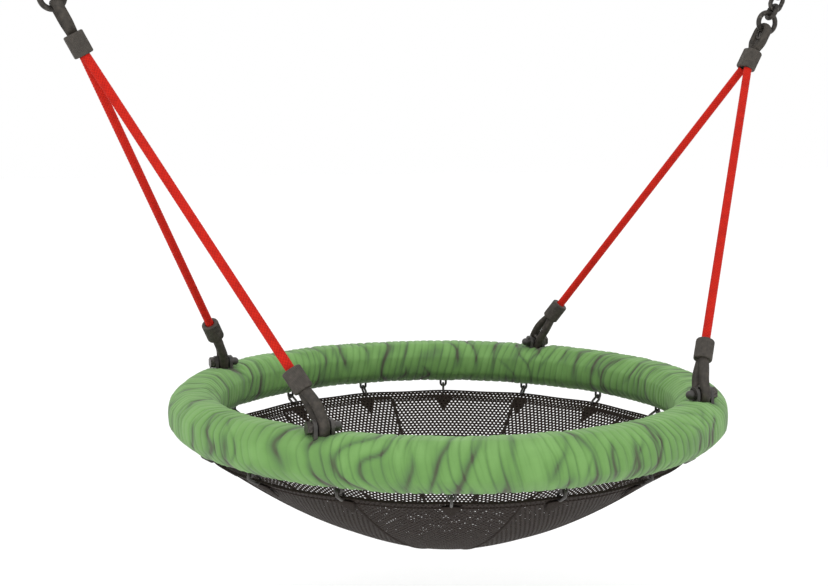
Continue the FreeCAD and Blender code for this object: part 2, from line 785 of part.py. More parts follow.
def make_ring_tube(label, angle):
    """Half of the bent steel tube; the two halves are butt-welded."""
    body = new_body(label)
    sketch = new_sketch(body, "XZ_Plane", label + "_section")
    outer = size("tubediameter") / 2
    ring_circle(sketch, "Sizes.tubediameter / 2", outer)
    ring_circle(sketch, "Sizes.tubediameter / 2 - Sizes.tubewall", outer - size("tubewall"))
    revolve(body, sketch, 180.0)
    body.Placement = FreeCAD.Placement(ring_middle, turn(Z, angle))
    keep(body, label)


def leg_holes(name, numbers):
    """Room for the tie staples' legs through the foam and the cover."""
    holes = []
    step = 360.0 / size("tiecount")
    for number in numbers:
        for sign in (1, -1):
            hole = doc.addObject("Part::Cylinder", "%s_%d" % (name, len(holes)))
            bind(hole, Radius="Sizes.tiebar / 2 + Sizes.legclearance", Height="Sizes.padheight / 2 + 2")
            offset = sign * (size("staplewidth") - size("tiebar")) / 2
            place = FreeCAD.Vector(size("tieradius"), offset, -size("padheight") / 2 - 1)
            spin = FreeCAD.Placement(ring_middle, turn(Z, number * step))
            hole.Placement = spin.multiply(FreeCAD.Placement(place, FreeCAD.Rotation()))
            holes.append(hole)
    return gather(name, holes)


def slot_width(gap):
    """Room along the ring for a bracket's cheeks, and for the eye where it dips into the pad."""
    rise = pull_line(1, 1).z
    lean = (size("eyeradius") - size("boltrise") * math.sqrt(1 - rise ** 2)) / rise
    dip = math.sqrt(max(size("eyeradius") ** 2 - size("boltrise") ** 2, 0))
    return 2 * (max(size("cheekwidth") / 2, dip, lean) + gap)


def bracket_room(name, hanger, gaps):
    """A box round a bracket, from the ring's middle height up to its bolt."""
    room = doc.addObject("Part::Box", "%s_%s" % (name, hanger))
    bind(room, Length="Sizes.forkwidth + 2 * %d * Sizes.bracketgap" % gaps, Height="Sizes.boltheight")
    room.Width = slot_width(gaps * size("bracketgap"))
    doc.recompute()
    corner = FreeCAD.Vector(-room.Length.Value / 2, -room.Width.Value / 2, -room.Height.Value)
    place = FreeCAD.Placement(ring_middle, FreeCAD.Rotation()).multiply(bracket_frame(*HANGERS[hanger]))
    room.Placement = place.multiply(FreeCAD.Placement(corner, FreeCAD.Rotation()))
    return room


def fastener_room(name, hanger):
    """A shallower and longer box, where the bolt's head and its nut sink into the pad."""
    room = doc.addObject("Part::Box", "%s_%s" % (name, hanger))
    reach = "Sizes.forkwidth + 2 * (Sizes.washerheight + Sizes.capheight + Sizes.bracketgap)"
    deep = "Sizes.washerdiameter / 2 + Sizes.bracketgap"
    bind(room, Length=reach, Width="2 * (%s)" % deep, Height=deep)
    doc.recompute()
    corner = FreeCAD.Vector(-room.Length.Value / 2, -room.Width.Value / 2, -room.Height.Value)
    place = FreeCAD.Placement(ring_middle, FreeCAD.Rotation()).multiply(bracket_frame(*HANGERS[hanger]))
    room.Placement = place.multiply(FreeCAD.Placement(corner, FreeCAD.Rotation()))
    return room


def make_foam(label, middle, span, hangers):
    """A foam sleeve from one bracket to the next."""
    body = new_body(label + "_body")
    sketch = new_sketch(body, "XZ_Plane", label + "_section")
    inset = size("coverskin") + size("skingap")
    pad_outline(sketch, inset, "Sizes.coverskin - Sizes.skingap")
    ring_circle(sketch, "Sizes.tubediameter / 2 + Sizes.skingap", size("tubediameter") / 2 + size("skingap"))
    room = math.degrees(slot_width(FOAM_GAPS * size("bracketgap")) / size("ringradius"))
    revolve(body, sketch, span - room)
    body.Placement = FreeCAD.Placement(ring_middle, turn(Z, middle))
    step = 360.0 / size("tiecount")
    reach = span / 2 / step
    numbers = [n + middle / step for n in range(-int(reach), int(reach) + 1)]
    rooms = [bracket_room(label + "_end", hanger, FOAM_GAPS) for hanger in hangers]
    rooms += [fastener_room(label + "_dimple", hanger) for hanger in hangers]
    off = gather(label + "_off", rooms + [leg_holes(label + "_legs", numbers)])
    keep(cut(label, body, off), label)


def make_cover():
    """The fabric sleeve over the foam, with a slot for each bracket and holes for the ties."""
    body = new_body("ring_cover_body")
    sketch = new_sketch(body, "XZ_Plane", "ring_cover_section")
    pad_outline(sketch, 0, "0")
    pad_outline(sketch, size("coverskin"), "Sizes.coverskin")
    revolve(body, sketch)
    body.Placement = FreeCAD.Placement(ring_middle, FreeCAD.Rotation())
    slots = [bracket_room("cover_slot", hanger, 1) for hanger in HANGERS]
    slots += [fastener_room("cover_dimple", hanger) for hanger in HANGERS]
    legs = leg_holes("cover_legs", range(int(size("tiecount"))))
    keep(cut("ring_cover", body, gather("cover_openings", slots + [legs])), "ring_cover")


# ---------------------------------------------------------------- basket and ties


def rim_point():
    return FreeCAD.Vector(size("rimradius"), 0, -size("rimdrop"))


def staple_bend():
    return FreeCAD.Vector(size("tieradius"), 0, -size("stapledrop"))


def tie_line():
    """From a staple's bend to the basket's rim."""
    return (rim_point() - staple_bend()).normalize()


def make_staples():
    """U-shaped rods welded under the tube, standing out below the pad."""
    bend = "(Sizes.staplewidth - Sizes.tiebar) / 2"
    height = "Sizes.stapledrop - %s - sqrt(Sizes.tubediameter ^ 2 / 4 - Sizes.tieinset ^ 2)" % bend
    pieces = []
    for sign in ("", "-"):
        leg = cylinder("staple_leg" + ("_far" if sign else "_near"), "Sizes.tiebar / 2", height,
                       x="Sizes.tieradius", y=sign + bend, z="-Sizes.stapledrop + " + bend)
        pieces.append(leg)
    curve = doc.addObject("Part::Torus", "staple_curve")
    bind(curve, Radius1=bend, Radius2="Sizes.tiebar / 2")
    curve.Angle3 = 180.0
    curve.Placement = frame_at(FreeCAD.Vector(), X * -1, Y)
    shift(curve, x="Sizes.tieradius", z="-Sizes.stapledrop + " + bend)
    staple = fuse("staple", pieces + [curve])
    doc.recompute()
    copies("ring_staples", staple, around_ring(size("tiecount")))


def make_tie_loops():
    """Oval loops from the staples through the eyelets in the hem."""
    high = staple_bend() - tie_line() * (size("tiebar") + size("loopgap"))
    low = rim_point() + tie_line() * size("loopreach")
    pitch = (low - high).Length - size("tiebar")
    bend = (size("loopwidth") - size("tiebar")) / 2
    straight = pitch + size("tiebar") - 2 * bend
    pieces = []
    for sign, end in ((1, "upper"), (-1, "lower")):
        half = doc.addObject("Part::Torus", "loop_" + end)
        bind(half, Radius1="(Sizes.loopwidth - Sizes.tiebar) / 2", Radius2="Sizes.tiebar / 2")
        half.Angle3 = 180.0
        half.Placement = FreeCAD.Placement(FreeCAD.Vector(0, 0, sign * straight / 2), turn(X, sign * 90))
        pieces.append(half)
        side = doc.addObject("Part::Cylinder", "loop_%s_side" % end)
        side.setExpression("Radius", "Sizes.tiebar / 2")
        side.Height = straight
        side.Placement.Base = FreeCAD.Vector(sign * bend, 0, -straight / 2)
        pieces.append(side)
    loop = fuse("loop", pieces)
    doc.recompute()
    middle = (high + low) * 0.5
    place = frame_at(middle, tie_line(), Y.cross(tie_line()))
    copies("tie_loops", loop, [turned.multiply(place) for turned in around_ring(size("tiecount"))])


def basket_height(radius):
    """Height of the basket's upper face at a distance from its centre."""
    share = (radius / size("rimradius")) ** BASKET_POWER
    return -size("rimdrop") - size("basketdepth") * (1 - share)


def basket_slope(radius):
    share = (radius / size("rimradius")) ** (BASKET_POWER - 1)
    return size("basketdepth") * BASKET_POWER / size("rimradius") * share


def turn_section(edges, angle):
    """Turns a closed section about the ring's axis, evenly to both sides of the XZ plane."""
    face = Part.Face(Part.Wire(Part.__sortEdges__(edges)))
    face.rotate(FreeCAD.Vector(), Z, -angle / 2)
    return face.revolve(FreeCAD.Vector(), Z, angle)


def under(radius, depth):
    """A point of the basket's section, at a depth square under its upper face."""
    slope = basket_slope(radius)
    square = math.hypot(1, slope)
    return FreeCAD.Vector(radius + depth * slope / square, 0, basket_height(radius) - depth / square)


def flat_band(start, end, high, low, angle):
    """A straight-sided layer of the basket between two radii and two depths."""
    corners = [under(start, high), under(end, high), under(end, low), under(start, low)]
    edges = [Part.makeLine(a, b) for a, b in zip(corners, corners[1:] + corners[:1])]
    return turn_section(edges, angle)


def net_bowl(end, thickness):
    """The curved bowl from its centre out to a radius."""
    curves = []
    for depth in (0, thickness):
        curve = Part.BSplineCurve()
        curve.interpolate([under(end * n / (PROFILE_POINTS - 1), depth) for n in range(PROFILE_POINTS)])
        curves.append(curve.toShape())
    ends = [Part.makeLine(under(r, 0), under(r, thickness)) for r in (0, end)]
    return turn_section(curves + ends, 360)


def hem_start():
    slope = basket_slope(size("rimradius"))
    return size("rimradius") - size("hemwidth") / math.hypot(1, slope)


def make_basket():
    """The net bowl, its hem with an eyelet at each tie, and a patch under each eyelet."""
    thickness = size("netthickness")
    net = doc.addObject("Part::Feature", "basket_net")
    net.Shape = net_bowl(hem_start(), thickness)
    net.Placement = FreeCAD.Placement(ring_middle, FreeCAD.Rotation())
    keep(net, "basket_net")
    band = flat_band(hem_start(), size("rimradius"), 0, thickness, 360)
    place = rim_point() + tie_line() * (size("loopreach"))
    punch = Part.makeCylinder(size("eyelet") / 2, 8 * thickness, place, tie_line().cross(Y))
    punch.translate(tie_line().cross(Y) * (-4 * thickness))
    punches = [punch.transformed(turned.toMatrix()) for turned in around_ring(size("tiecount"))]
    hem = doc.addObject("Part::Feature", "basket_hem")
    hem.Shape = band.cut(Part.makeCompound(punches))
    hem.Placement = FreeCAD.Placement(ring_middle, FreeCAD.Rotation())
    keep(hem, "basket_hem")
    slope = basket_slope(size("rimradius"))
    outer = size("rimradius") - size("loopreach") * 2 / math.hypot(1, slope)
    inner = outer - size("patchlength") / math.hypot(1, slope)
    angle = math.degrees(size("patchwidth") / size("rimradius"))
    patch = doc.addObject("Part::Feature", "patch")
    top = thickness + size("patchgap")
    patch.Shape = flat_band(inner, outer, top, top + size("patchthickness"), angle)
    copies("tie_patches", patch, around_ring(size("tiecount")))


# ---------------------------------------------------------------- assembly

for side_name, side_sign in SIDES.items():
    make_chain(side_name, side_sign)
    make_top_end(side_name, side_sign)
for hanger_name, (side_sign, end_sign) in HANGERS.items():
    make_lower_end(hanger_name, side_sign, end_sign)
    make_bracket(hanger_name, side_sign, end_sign)
make_thimbles()
make_fasteners()
make_ring_tube("ring_tube_right", 0)
make_ring_tube("ring_tube_left", 180)
side_span = 2 * size("hangerangle")
for foam_name, foam_middle, foam_span, foam_ends in (
    ("foam_right", 0, side_span, ("right_back", "right_front")),
    ("foam_back", 90, 180 - side_span, ("right_back", "left_back")),
    ("foam_left", 180, side_span, ("left_back", "left_front")),
    ("foam_front", 270, 180 - side_span, ("right_front", "left_front")),
):
    make_foam(foam_name, foam_middle, foam_span, foam_ends)
make_cover()
make_staples()
make_tie_loops()
make_basket()
doc.recompute()

for item in doc.Objects:
    if "Invalid" in item.State or "Error" in item.State:
        raise RuntimeError("%s failed: %s" % (item.Label, item.State))
for part in parts:
    if part.Shape.isNull() or not part.Shape.isValid():
        raise RuntimeError(part.Label + " has no valid shape")

os.makedirs("parts", exist_ok=True)
for part in parts:
    part.Shape.exportStep("parts/%s.step" % part.Label)
pivot = along_chain(1, hanging_point)
print("hanging line %.2f mm above the ring, chain pivots at x = %.2f" % (drop, pivot.x))
print("seat pivot: z = %.2f" % along_chain(1, ring_low).z)
print("%d parts" % len(parts))
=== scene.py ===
import math

import bmesh
import bpy
import numpy as np
from mathutils import Matrix, Vector


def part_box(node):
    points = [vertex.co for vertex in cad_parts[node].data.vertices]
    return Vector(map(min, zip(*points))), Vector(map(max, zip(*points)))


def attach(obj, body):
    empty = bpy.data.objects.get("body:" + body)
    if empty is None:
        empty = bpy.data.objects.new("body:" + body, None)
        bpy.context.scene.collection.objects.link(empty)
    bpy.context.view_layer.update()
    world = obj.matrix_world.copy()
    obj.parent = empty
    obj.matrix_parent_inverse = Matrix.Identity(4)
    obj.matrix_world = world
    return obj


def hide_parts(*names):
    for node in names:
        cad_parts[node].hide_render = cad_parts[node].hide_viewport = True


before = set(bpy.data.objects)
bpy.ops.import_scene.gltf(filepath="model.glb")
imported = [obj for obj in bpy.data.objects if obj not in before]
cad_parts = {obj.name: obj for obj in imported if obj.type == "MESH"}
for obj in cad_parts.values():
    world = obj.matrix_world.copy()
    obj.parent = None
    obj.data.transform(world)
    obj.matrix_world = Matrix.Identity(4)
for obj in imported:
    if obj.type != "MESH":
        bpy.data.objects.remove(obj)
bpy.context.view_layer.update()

# Nest swing seat: a padded ring with a net basket tied under it, hung by four taut ropes
# from two short chains. Everything is in metres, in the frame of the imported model.

scene = bpy.context.scene
scene.view_settings.view_transform = "Standard"
rng = np.random.default_rng(7)

xAxis, yAxis, zAxis = Vector((1, 0, 0)), Vector((0, 1, 0)), Vector((0, 0, 1))
coverLow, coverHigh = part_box("ring_cover")
ringCentre = Vector((0, 0, (coverLow[2] + coverHigh[2]) / 2))

# ---- camera

camera = {
    "place": (-0.996, -2.293, -0.2764),
    "target": (-0.0645, 0.007, -0.5797),
    "lens": 57.89,
}


def makeCamera():
    data = bpy.data.cameras.new("seatCamera")
    data.lens = camera["lens"]
    data.sensor_width = 36
    data.clip_start, data.clip_end = 0.05, 60
    viewer = bpy.data.objects.new("seatCamera", data)
    scene.collection.objects.link(viewer)
    viewer.location = camera["place"]
    away = Vector(camera["target"]) - Vector(camera["place"])
    viewer.rotation_euler = away.to_track_quat("-Z", "Y").to_euler()
    scene.camera = viewer


makeCamera()
print("camera placed")

# ---- materials


def linear(hexColour):
    # sRGB hex to the linear colour that a shader takes
    channels = [int(hexColour[i:i + 2], 16) / 255 for i in (1, 3, 5)]
    return [c / 12.92 if c <= 0.04045 else ((c + 0.055) / 1.055) ** 2.4 for c in channels] + [1]


def addNode(tree, kind, inputs=None, **settings):
    node = tree.nodes.new(kind)
    for key, value in settings.items():
        setattr(node, key, value)
    for key, value in (inputs or {}).items():
        if isinstance(value, bpy.types.NodeSocket):
            tree.links.new(value, node.inputs[key])
        else:
            node.inputs[key].default_value = value
    return node


def newMaterial(name, colour, roughness, **sockets):
    material = bpy.data.materials.new(name)
    material.use_nodes = True
    shader = material.node_tree.nodes["Principled BSDF"]
    shader.inputs["Base Color"].default_value = linear(colour)
    shader.inputs["Roughness"].default_value = roughness
    for key, value in sockets.items():
        shader.inputs[key.replace("_", " ")].default_value = value
    return material, material.node_tree, shader


def place(tree):
    return addNode(tree, "ShaderNodeTexCoord").outputs["Object"]


def shade(tree, shader, factor, colours, stops=(0, 1)):
    # colour ramp from a factor to the base colour
    ramp = addNode(tree, "ShaderNodeValToRGB", {"Fac": factor})
    elements = ramp.color_ramp.elements
    while len(elements) < len(colours):
        elements.new(0.5)
    for element, stop, colour in zip(elements, stops, colours):
        element.position = stop
        element.color = linear(colour)
    tree.links.new(ramp.outputs["Color"], shader.inputs["Base Color"])
    return ramp


def relief(tree, shader, height, distance, strength=1.0):
    bump = addNode(tree, "ShaderNodeBump", {"Height": height, "Distance": distance, "Strength": strength})
    tree.links.new(bump.outputs["Normal"], shader.inputs["Normal"])
    return bump


def braidedPolyester():
    # solution-dyed polyester braid: matt red, with painted shade darkening the grooves where the strands dive under
    # each other and a paler red painted on the strand crowns
    material, tree, shader = newMaterial(
        "braidedPolyester", "#C61D0C", 0.75, Specular_IOR_Level=0.2)
    grooveShade = addNode(tree, "ShaderNodeAttribute", attribute_name="grooveShade").outputs["Fac"]
    wear = addNode(tree, "ShaderNodeTexNoise", {"Vector": place(tree), "Scale": 90, "Detail": 3}).outputs["Fac"]
    # random noise times the braid height: low grooves get painted shade, high crowns a paler red
    both = addNode(tree, "ShaderNodeMath", {0: wear, 1: grooveShade}, operation="MULTIPLY").outputs[0]
    shade(tree, shader, both, ("#9E150A", "#C61D0C", "#D32A14"), (0.05, 0.36, 0.8))
    fibre = addNode(tree, "ShaderNodeTexNoise", {"Vector": place(tree), "Scale": 1400, "Detail": 2}).outputs["Fac"]
    relief(tree, shader, fibre, 0.0002, 0.5)
    return material


def mouldedNylon(name, colour, dark, light):
    # glass-filled nylon, moulded: dull black with a fine spark-eroded grain and paler scuffs
    material, tree, shader = newMaterial(name, colour, 0.6, Specular_IOR_Level=0.4)
    spots = addNode(tree, "ShaderNodeTexNoise", {"Vector": place(tree), "Scale": 130, "Detail": 5}).outputs["Fac"]
    shade(tree, shader, spots, (dark, colour, light), (0.3, 0.52, 0.8))
    grain = addNode(tree, "ShaderNodeTexNoise", {"Vector": place(tree), "Scale": 1800}).outputs["Fac"]
    relief(tree, shader, grain, 0.00015, 0.5)
    return material


def chainSteel():
    # forged steel with a dark zinc-phosphate coat: brown-black, rubbed brighter in places
    material, tree, shader = newMaterial("phosphatedSteel", "#3F3B37", 0.5, Metallic=0.55)
    worn = addNode(tree, "ShaderNodeTexNoise", {"Vector": place(tree), "Scale": 160, "Detail": 6}).outputs["Fac"]
    shade(tree, shader, worn, ("#2A2724", "#3F3B37", "#6B655E"), (0.35, 0.55, 0.78))
    pits = addNode(tree, "ShaderNodeTexNoise", {"Vector": place(tree), "Scale": 900, "Detail": 3}).outputs["Fac"]
    relief(tree, shader, pits, 0.0003, 0.6)
    return material


def paintedSteel():
    # powder-coated steel plate: satin dark grey with the coat's faint orange peel
    material, tree, shader = newMaterial("powderCoatedSteel", "#3B3835", 0.45, Coat_Weight=0.15)
    tone = addNode(tree, "ShaderNodeTexNoise", {"Vector": place(tree), "Scale": 60, "Detail": 4}).outputs["Fac"]
    shade(tree, shader, tone, ("#2E2B29", "#3B3835", "#4F4A46"), (0.35, 0.55, 0.8))
    peel = addNode(tree, "ShaderNodeTexNoise", {"Vector": place(tree), "Scale": 700}).outputs["Fac"]
    relief(tree, shader, peel, 0.0002, 0.4)
    return material


def zincSteel():
    # zinc-plated fasteners with a dark passivate: grey metal with soft stains
    material, tree, shader = newMaterial("zincPlatedSteel", "#57534F", 0.4, Metallic=0.85)
    stain = addNode(tree, "ShaderNodeTexNoise", {"Vector": place(tree), "Scale": 220, "Detail": 4}).outputs["Fac"]
    shade(tree, shader, stain, ("#3A3735", "#57534F", "#77736E"), (0.3, 0.55, 0.8))
    turned = addNode(tree, "ShaderNodeTexNoise", {"Vector": place(tree), "Scale": 1200}).outputs["Fac"]
    relief(tree, shader, turned, 0.0001, 0.5)
    return material


def gatheredNylon():
    # gathered nylon sleeve: clear green, browner and darker where painted shade lies in the fold lines, streaks and
    # pinches under the brackets, painted lighter towards the top and darker towards the bottom, with random blotches
    # and cloud
    material, tree, shader = newMaterial(
        "gatheredNylon", "#68934F", 0.75, Sheen_Weight=0.1, Sheen_Roughness=0.5)
    # the attribute carries painted shade from the folds and pinches and painted light on the top, plus random tone
    shadeAndTone = addNode(tree, "ShaderNodeAttribute", attribute_name="shadeAndTone").outputs["Fac"]
    cloud = addNode(tree, "ShaderNodeTexNoise", {"Vector": place(tree), "Scale": 26, "Detail": 5}).outputs["Fac"]
    centred = addNode(tree, "ShaderNodeMath", {0: cloud, 1: -0.5}, operation="ADD").outputs[0]
    blend = addNode(tree, "ShaderNodeMath", {0: centred, 1: 0.28, 2: shadeAndTone}, operation="MULTIPLY_ADD").outputs[0]
    shade(tree, shader, blend, ("#464A36", "#567A45", "#67944C", "#7DAC60"), (0.08, 0.38, 0.66, 1.0))
    weave = addNode(tree, "ShaderNodeTexNoise", {"Vector": place(tree), "Scale": 1100}).outputs["Fac"]
    relief(tree, shader, weave, 0.0002, 0.35)
    return material


def coatedMesh():
    # PVC-coated polyester mesh: near black and slightly glossy, warmer on the thread crowns
    material, tree, shader = newMaterial("coatedMesh", "#2E2723", 0.65, Specular_IOR_Level=0.12)
    tone = addNode(tree, "ShaderNodeTexNoise", {"Vector": place(tree), "Scale": 300, "Detail": 3}).outputs["Fac"]
    shade(tree, shader, tone, ("#211B18", "#2E2723", "#453B34"), (0.3, 0.55, 0.8))
    thread = addNode(tree, "ShaderNodeTexNoise", {"Vector": place(tree), "Scale": 1500}).outputs["Fac"]
    relief(tree, shader, thread, 0.0003, 0.6)
    return material


def wovenTape():
    # polyester webbing tape, woven: matt black with close cross ribs about 1.2 mm apart
    material, tree, shader = newMaterial("wovenTape", "#2A2420", 0.85, Specular_IOR_Level=0.12)
    ribs = addNode(tree, "ShaderNodeTexNoise", {"Vector": place(tree), "Scale": 800, "Detail": 2}).outputs["Fac"]
    shade(tree, shader, ribs, ("#1E1916", "#2A2420", "#3D352F"), (0.3, 0.5, 0.75))
    relief(tree, shader, ribs, 0.0004, 0.7)
    return material


def greyFoam():
    # closed-cell foam under the sleeve, grey with small cells
    material, tree, shader = newMaterial("closedCellFoam", "#8A8F8C", 0.9)
    cells = addNode(tree, "ShaderNodeTexVoronoi", {"Vector": place(tree), "Scale": 500}).outputs["Distance"]
    shade(tree, shader, cells, ("#6F7472", "#939896"), (0.1, 0.6))
    relief(tree, shader, cells, 0.0003, 0.5)
    return material


ropeRed = braidedPolyester()
ferruleNylon = mouldedNylon("mouldedNylon", "#443F39", "#39342F", "#524B44")
eyeSheath = mouldedNylon("extrudedSheath", "#3D3832", "#2F2B26", "#4E473F")
bushNylon = mouldedNylon("turnedNylon", "#2F2D2B", "#242220", "#46423E")
darkChain = chainSteel()
coatedPlate = paintedSteel()
fastenerZinc = zincSteel()
coverGreen = gatheredNylon()
netBlack = coatedMesh()
tapeBlack = wovenTape()
foamGrey = greyFoam()
print("materials made")

# ---- mesh and node helpers


def link(name, mesh, material=None):
    piece = bpy.data.objects.new(name, mesh)
    scene.collection.objects.link(piece)
    if material:
        mesh.materials.clear()
        mesh.materials.append(material)
    return piece


def meshFrom(name, points, faces, smooth=True):
    mesh = bpy.data.meshes.new(name)
    mesh.from_pydata(np.asarray(points).tolist(), [], faces)
    if smooth:
        mesh.shade_smooth()
    mesh.validate()
    return mesh


def evaluated(piece):
    # the piece's mesh with its modifiers applied
    depsgraph = bpy.context.evaluated_depsgraph_get()
    return bpy.data.meshes.new_from_object(
        piece.evaluated_get(depsgraph), preserve_all_data_layers=True, depsgraph=depsgraph)


def settle(piece):
    mesh = evaluated(piece)
    piece.modifiers.clear()
    piece.data = mesh
    return piece


def faceOutwards(mesh):
    bm = bmesh.new()
    bm.from_mesh(mesh)
    bmesh.ops.remove_doubles(bm, verts=bm.verts, dist=1e-6)
    bmesh.ops.recalc_face_normals(bm, faces=bm.faces)
    bm.to_mesh(mesh)
    bm.free()
    return mesh


def tubeFaces(rings, around, closed):
    faces = []
    for i in range(rings if closed else rings - 1):
        low, high = i * around, (i + 1) % rings * around
        for j in range(around):
            k = (j + 1) % around
            faces.append((low + j, low + k, high + k, high + j))
    if not closed:
        last = (rings - 1) * around
        faces.append(tuple(reversed(range(around))))
        faces.append(tuple(range(last, last + around)))
    return faces


def frameAt(point, up, across):
    # local Z exactly along up, local X as near as it can be to across
    up = up.normalized()
    side = up.cross(across).normalized()
    turned = Matrix((side.cross(up), side, up)).transposed().to_4x4()
    turned.translation = point
    return turned


def nodeTree(name, sockets):
    # a Geometry Nodes tree with named inputs; returns it with its input node
    tree = bpy.data.node_groups.new(name, "GeometryNodeTree")
    tree.interface.new_socket("Geometry", in_out="INPUT", socket_type="NodeSocketGeometry")
    for label, kind, value in sockets:
        socket = tree.interface.new_socket(label, in_out="INPUT", socket_type="NodeSocket" + kind)
        socket.default_value = value
    tree.interface.new_socket("Material", in_out="INPUT", socket_type="NodeSocketMaterial")
    tree.interface.new_socket("Geometry", in_out="OUTPUT", socket_type="NodeSocketGeometry")
    return tree, tree.nodes.new("NodeGroupInput").outputs


def closeTree(tree, given, geometry):
    real = addNode(tree, "GeometryNodeRealizeInstances", {"Geometry": geometry}).outputs[0]
    smooth = addNode(tree, "GeometryNodeSetShadeSmooth", {"Geometry": real}).outputs[0]
    painted = addNode(tree, "GeometryNodeSetMaterial", {"Geometry": smooth, "Material": given["Material"]}).outputs[0]
    addNode(tree, "NodeGroupOutput", {"Geometry": painted})
    return tree


def grow(name, mesh, tree, material, **values):
    # runs a tree on a mesh and returns a plain piece
    piece = link(name, mesh)
    modifier = piece.modifiers.new(tree.name, "NODES")
    modifier.node_group = tree
    values["Material"] = material
    for socket in tree.interface.items_tree:
        if socket.in_out == "INPUT" and socket.name in values:
            modifier[socket.identifier] = values[socket.name]
    settle(piece)
    return piece


def barTree():
    # a bar that follows a line; its section is a star, which gives ridges along the bar
    tree, given = nodeTree("barAlongLine", (
        ("Ridges", "Int", 8), ("Outer", "Float", 0.005), ("Inner", "Float", 0.005), ("Flatness", "Float", 1.0)))
    line = addNode(tree, "GeometryNodeMeshToCurve", {"Mesh": given["Geometry"]}).outputs[0]
    level = addNode(tree, "GeometryNodeSetCurveNormal", {"Curve": line}, mode="Z_UP").outputs[0]
    star = addNode(tree, "GeometryNodeCurveStar", {
        "Points": given["Ridges"], "Inner Radius": given["Inner"], "Outer Radius": given["Outer"]}).outputs[0]
    scale = addNode(tree, "ShaderNodeCombineXYZ", {"X": given["Flatness"], "Y": 1.0, "Z": 1.0}).outputs[0]
    shaped = addNode(tree, "GeometryNodeTransform", {"Geometry": star, "Scale": scale}).outputs[0]
    bar = addNode(tree, "GeometryNodeCurveToMesh", {"Curve": level, "Profile Curve": shaped, "Fill Caps": True})
    return closeTree(tree, given, bar.outputs[0])


def stitchTree():
    # short thread loops laid end to end along a line
    tree, given = nodeTree("stitchesAlongLine", (
        ("Spacing", "Float", 0.005), ("Stitch", "Float", 0.0036), ("Thread", "Float", 0.0006)))
    line = addNode(tree, "GeometryNodeMeshToCurve", {"Mesh": given["Geometry"]}).outputs[0]
    points = addNode(tree, "GeometryNodeCurveToPoints", {"Curve": line, "Length": given["Spacing"]}, mode="LENGTH")
    thread = addNode(tree, "GeometryNodeMeshUVSphere", {"Segments": 6, "Rings": 4, "Radius": 1.0}).outputs[0]
    half = addNode(tree, "ShaderNodeMath", {0: given["Stitch"], 1: 0.5}, operation="MULTIPLY").outputs[0]
    scale = addNode(tree, "ShaderNodeCombineXYZ", {
        "X": given["Thread"], "Y": given["Thread"], "Z": half}).outputs[0]
    rows = addNode(tree, "GeometryNodeInstanceOnPoints", {
        "Points": points.outputs["Points"], "Instance": thread,
        "Rotation": points.outputs["Rotation"], "Scale": scale}).outputs[0]
    return closeTree(tree, given, rows)


def meshTree():
    # a triangle lattice becomes six-sided cells, each pierced by a hole
    tree, given = nodeTree("piercedCells", (("Hole", "Float", 0.6),))
    cells = addNode(tree, "GeometryNodeDualMesh", {"Mesh": given["Geometry"], "Keep Boundaries": False}).outputs[0]
    inset = addNode(tree, "GeometryNodeExtrudeMesh", {
        "Mesh": cells, "Offset Scale": 0.0, "Individual": True}, mode="FACES")
    sized = addNode(tree, "GeometryNodeScaleElements", {
        "Geometry": inset.outputs["Mesh"], "Selection": inset.outputs["Top"], "Scale": given["Hole"]}).outputs[0]
    pierced = addNode(tree, "GeometryNodeDeleteGeometry", {
        "Geometry": sized, "Selection": inset.outputs["Top"]}, domain="FACE", mode="ALL").outputs[0]
    return closeTree(tree, given, pierced)


bars, stitches, piercing = barTree(), stitchTree(), meshTree()


def lineMesh(name, points, closed=False):
    mesh = bpy.data.meshes.new(name)
    edges = [(i, i + 1) for i in range(len(points) - 1)]
    if closed:
        edges.append((len(points) - 1, 0))
    mesh.from_pydata([tuple(p) for p in points], edges, [])
    return mesh


def join(name, meshes, material=None):
    # one piece from several meshes
    bm = bmesh.new()
    for mesh in meshes:
        bm.from_mesh(mesh)
    whole = bpy.data.meshes.new(name)
    bm.to_mesh(whole)
    bm.free()
    whole.shade_smooth()
    return link(name, whole, material)


# ---- hanging geometry

hanging = {
    "ringRadius": 0.475, "boltReach": 0.480, "boltAngle": 42.3, "boltHeight": 0.0505,
    "spread": 0.660, "height": 0.641, "ropeOffset": 0.00908,
    "ferrule": 0.040, "knee": 0.020, "neckReach": 0.047,
}
corners = {
    "right_back": (1, 1), "right_front": (1, -1), "left_back": (-1, 1), "left_front": (-1, -1),
}
sides = {"left": -1, "right": 1}


def boltCentre(side, end):
    angle = math.radians(hanging["boltAngle"])
    reach = hanging["boltReach"]
    return ringCentre + Vector((side * reach * math.cos(angle), end * reach * math.sin(angle), hanging["boltHeight"]))


def mouthCentre(side):
    return ringCentre + Vector((side * hanging["spread"], 0, hanging["height"]))


def pullLine(side, end):
    # the rope's pull seen along its bolt, which lies along X
    pull = mouthCentre(side) - boltCentre(side, end)
    pull.x = 0
    return pull.normalized()


def knee(side, end):
    # where a lower eye bends into the line of its rope
    return boltCentre(side, end) + pullLine(side, end) * hanging["knee"]


def chainLine(side):
    foot = knee(side, 1)
    foot.y = 0
    return (mouthCentre(side) - foot).normalized()


def ropeLine(side, end):
    top = mouthCentre(side) + yAxis * (end * hanging["ropeOffset"])
    return (top - knee(side, end)).normalized()


# ---- ropes

rope = {
    "diameter": 0.016, "carriers": 8, "diamond": 0.0062, "relief": 0.0008,
    "around": 56, "perDiamond": 6,
    "low": (0.38693, 0.2816, -0.6652), "middle": (0.52347, 0.14534, -0.40869), "high": (0.66, 0.00908, -0.15218),
}


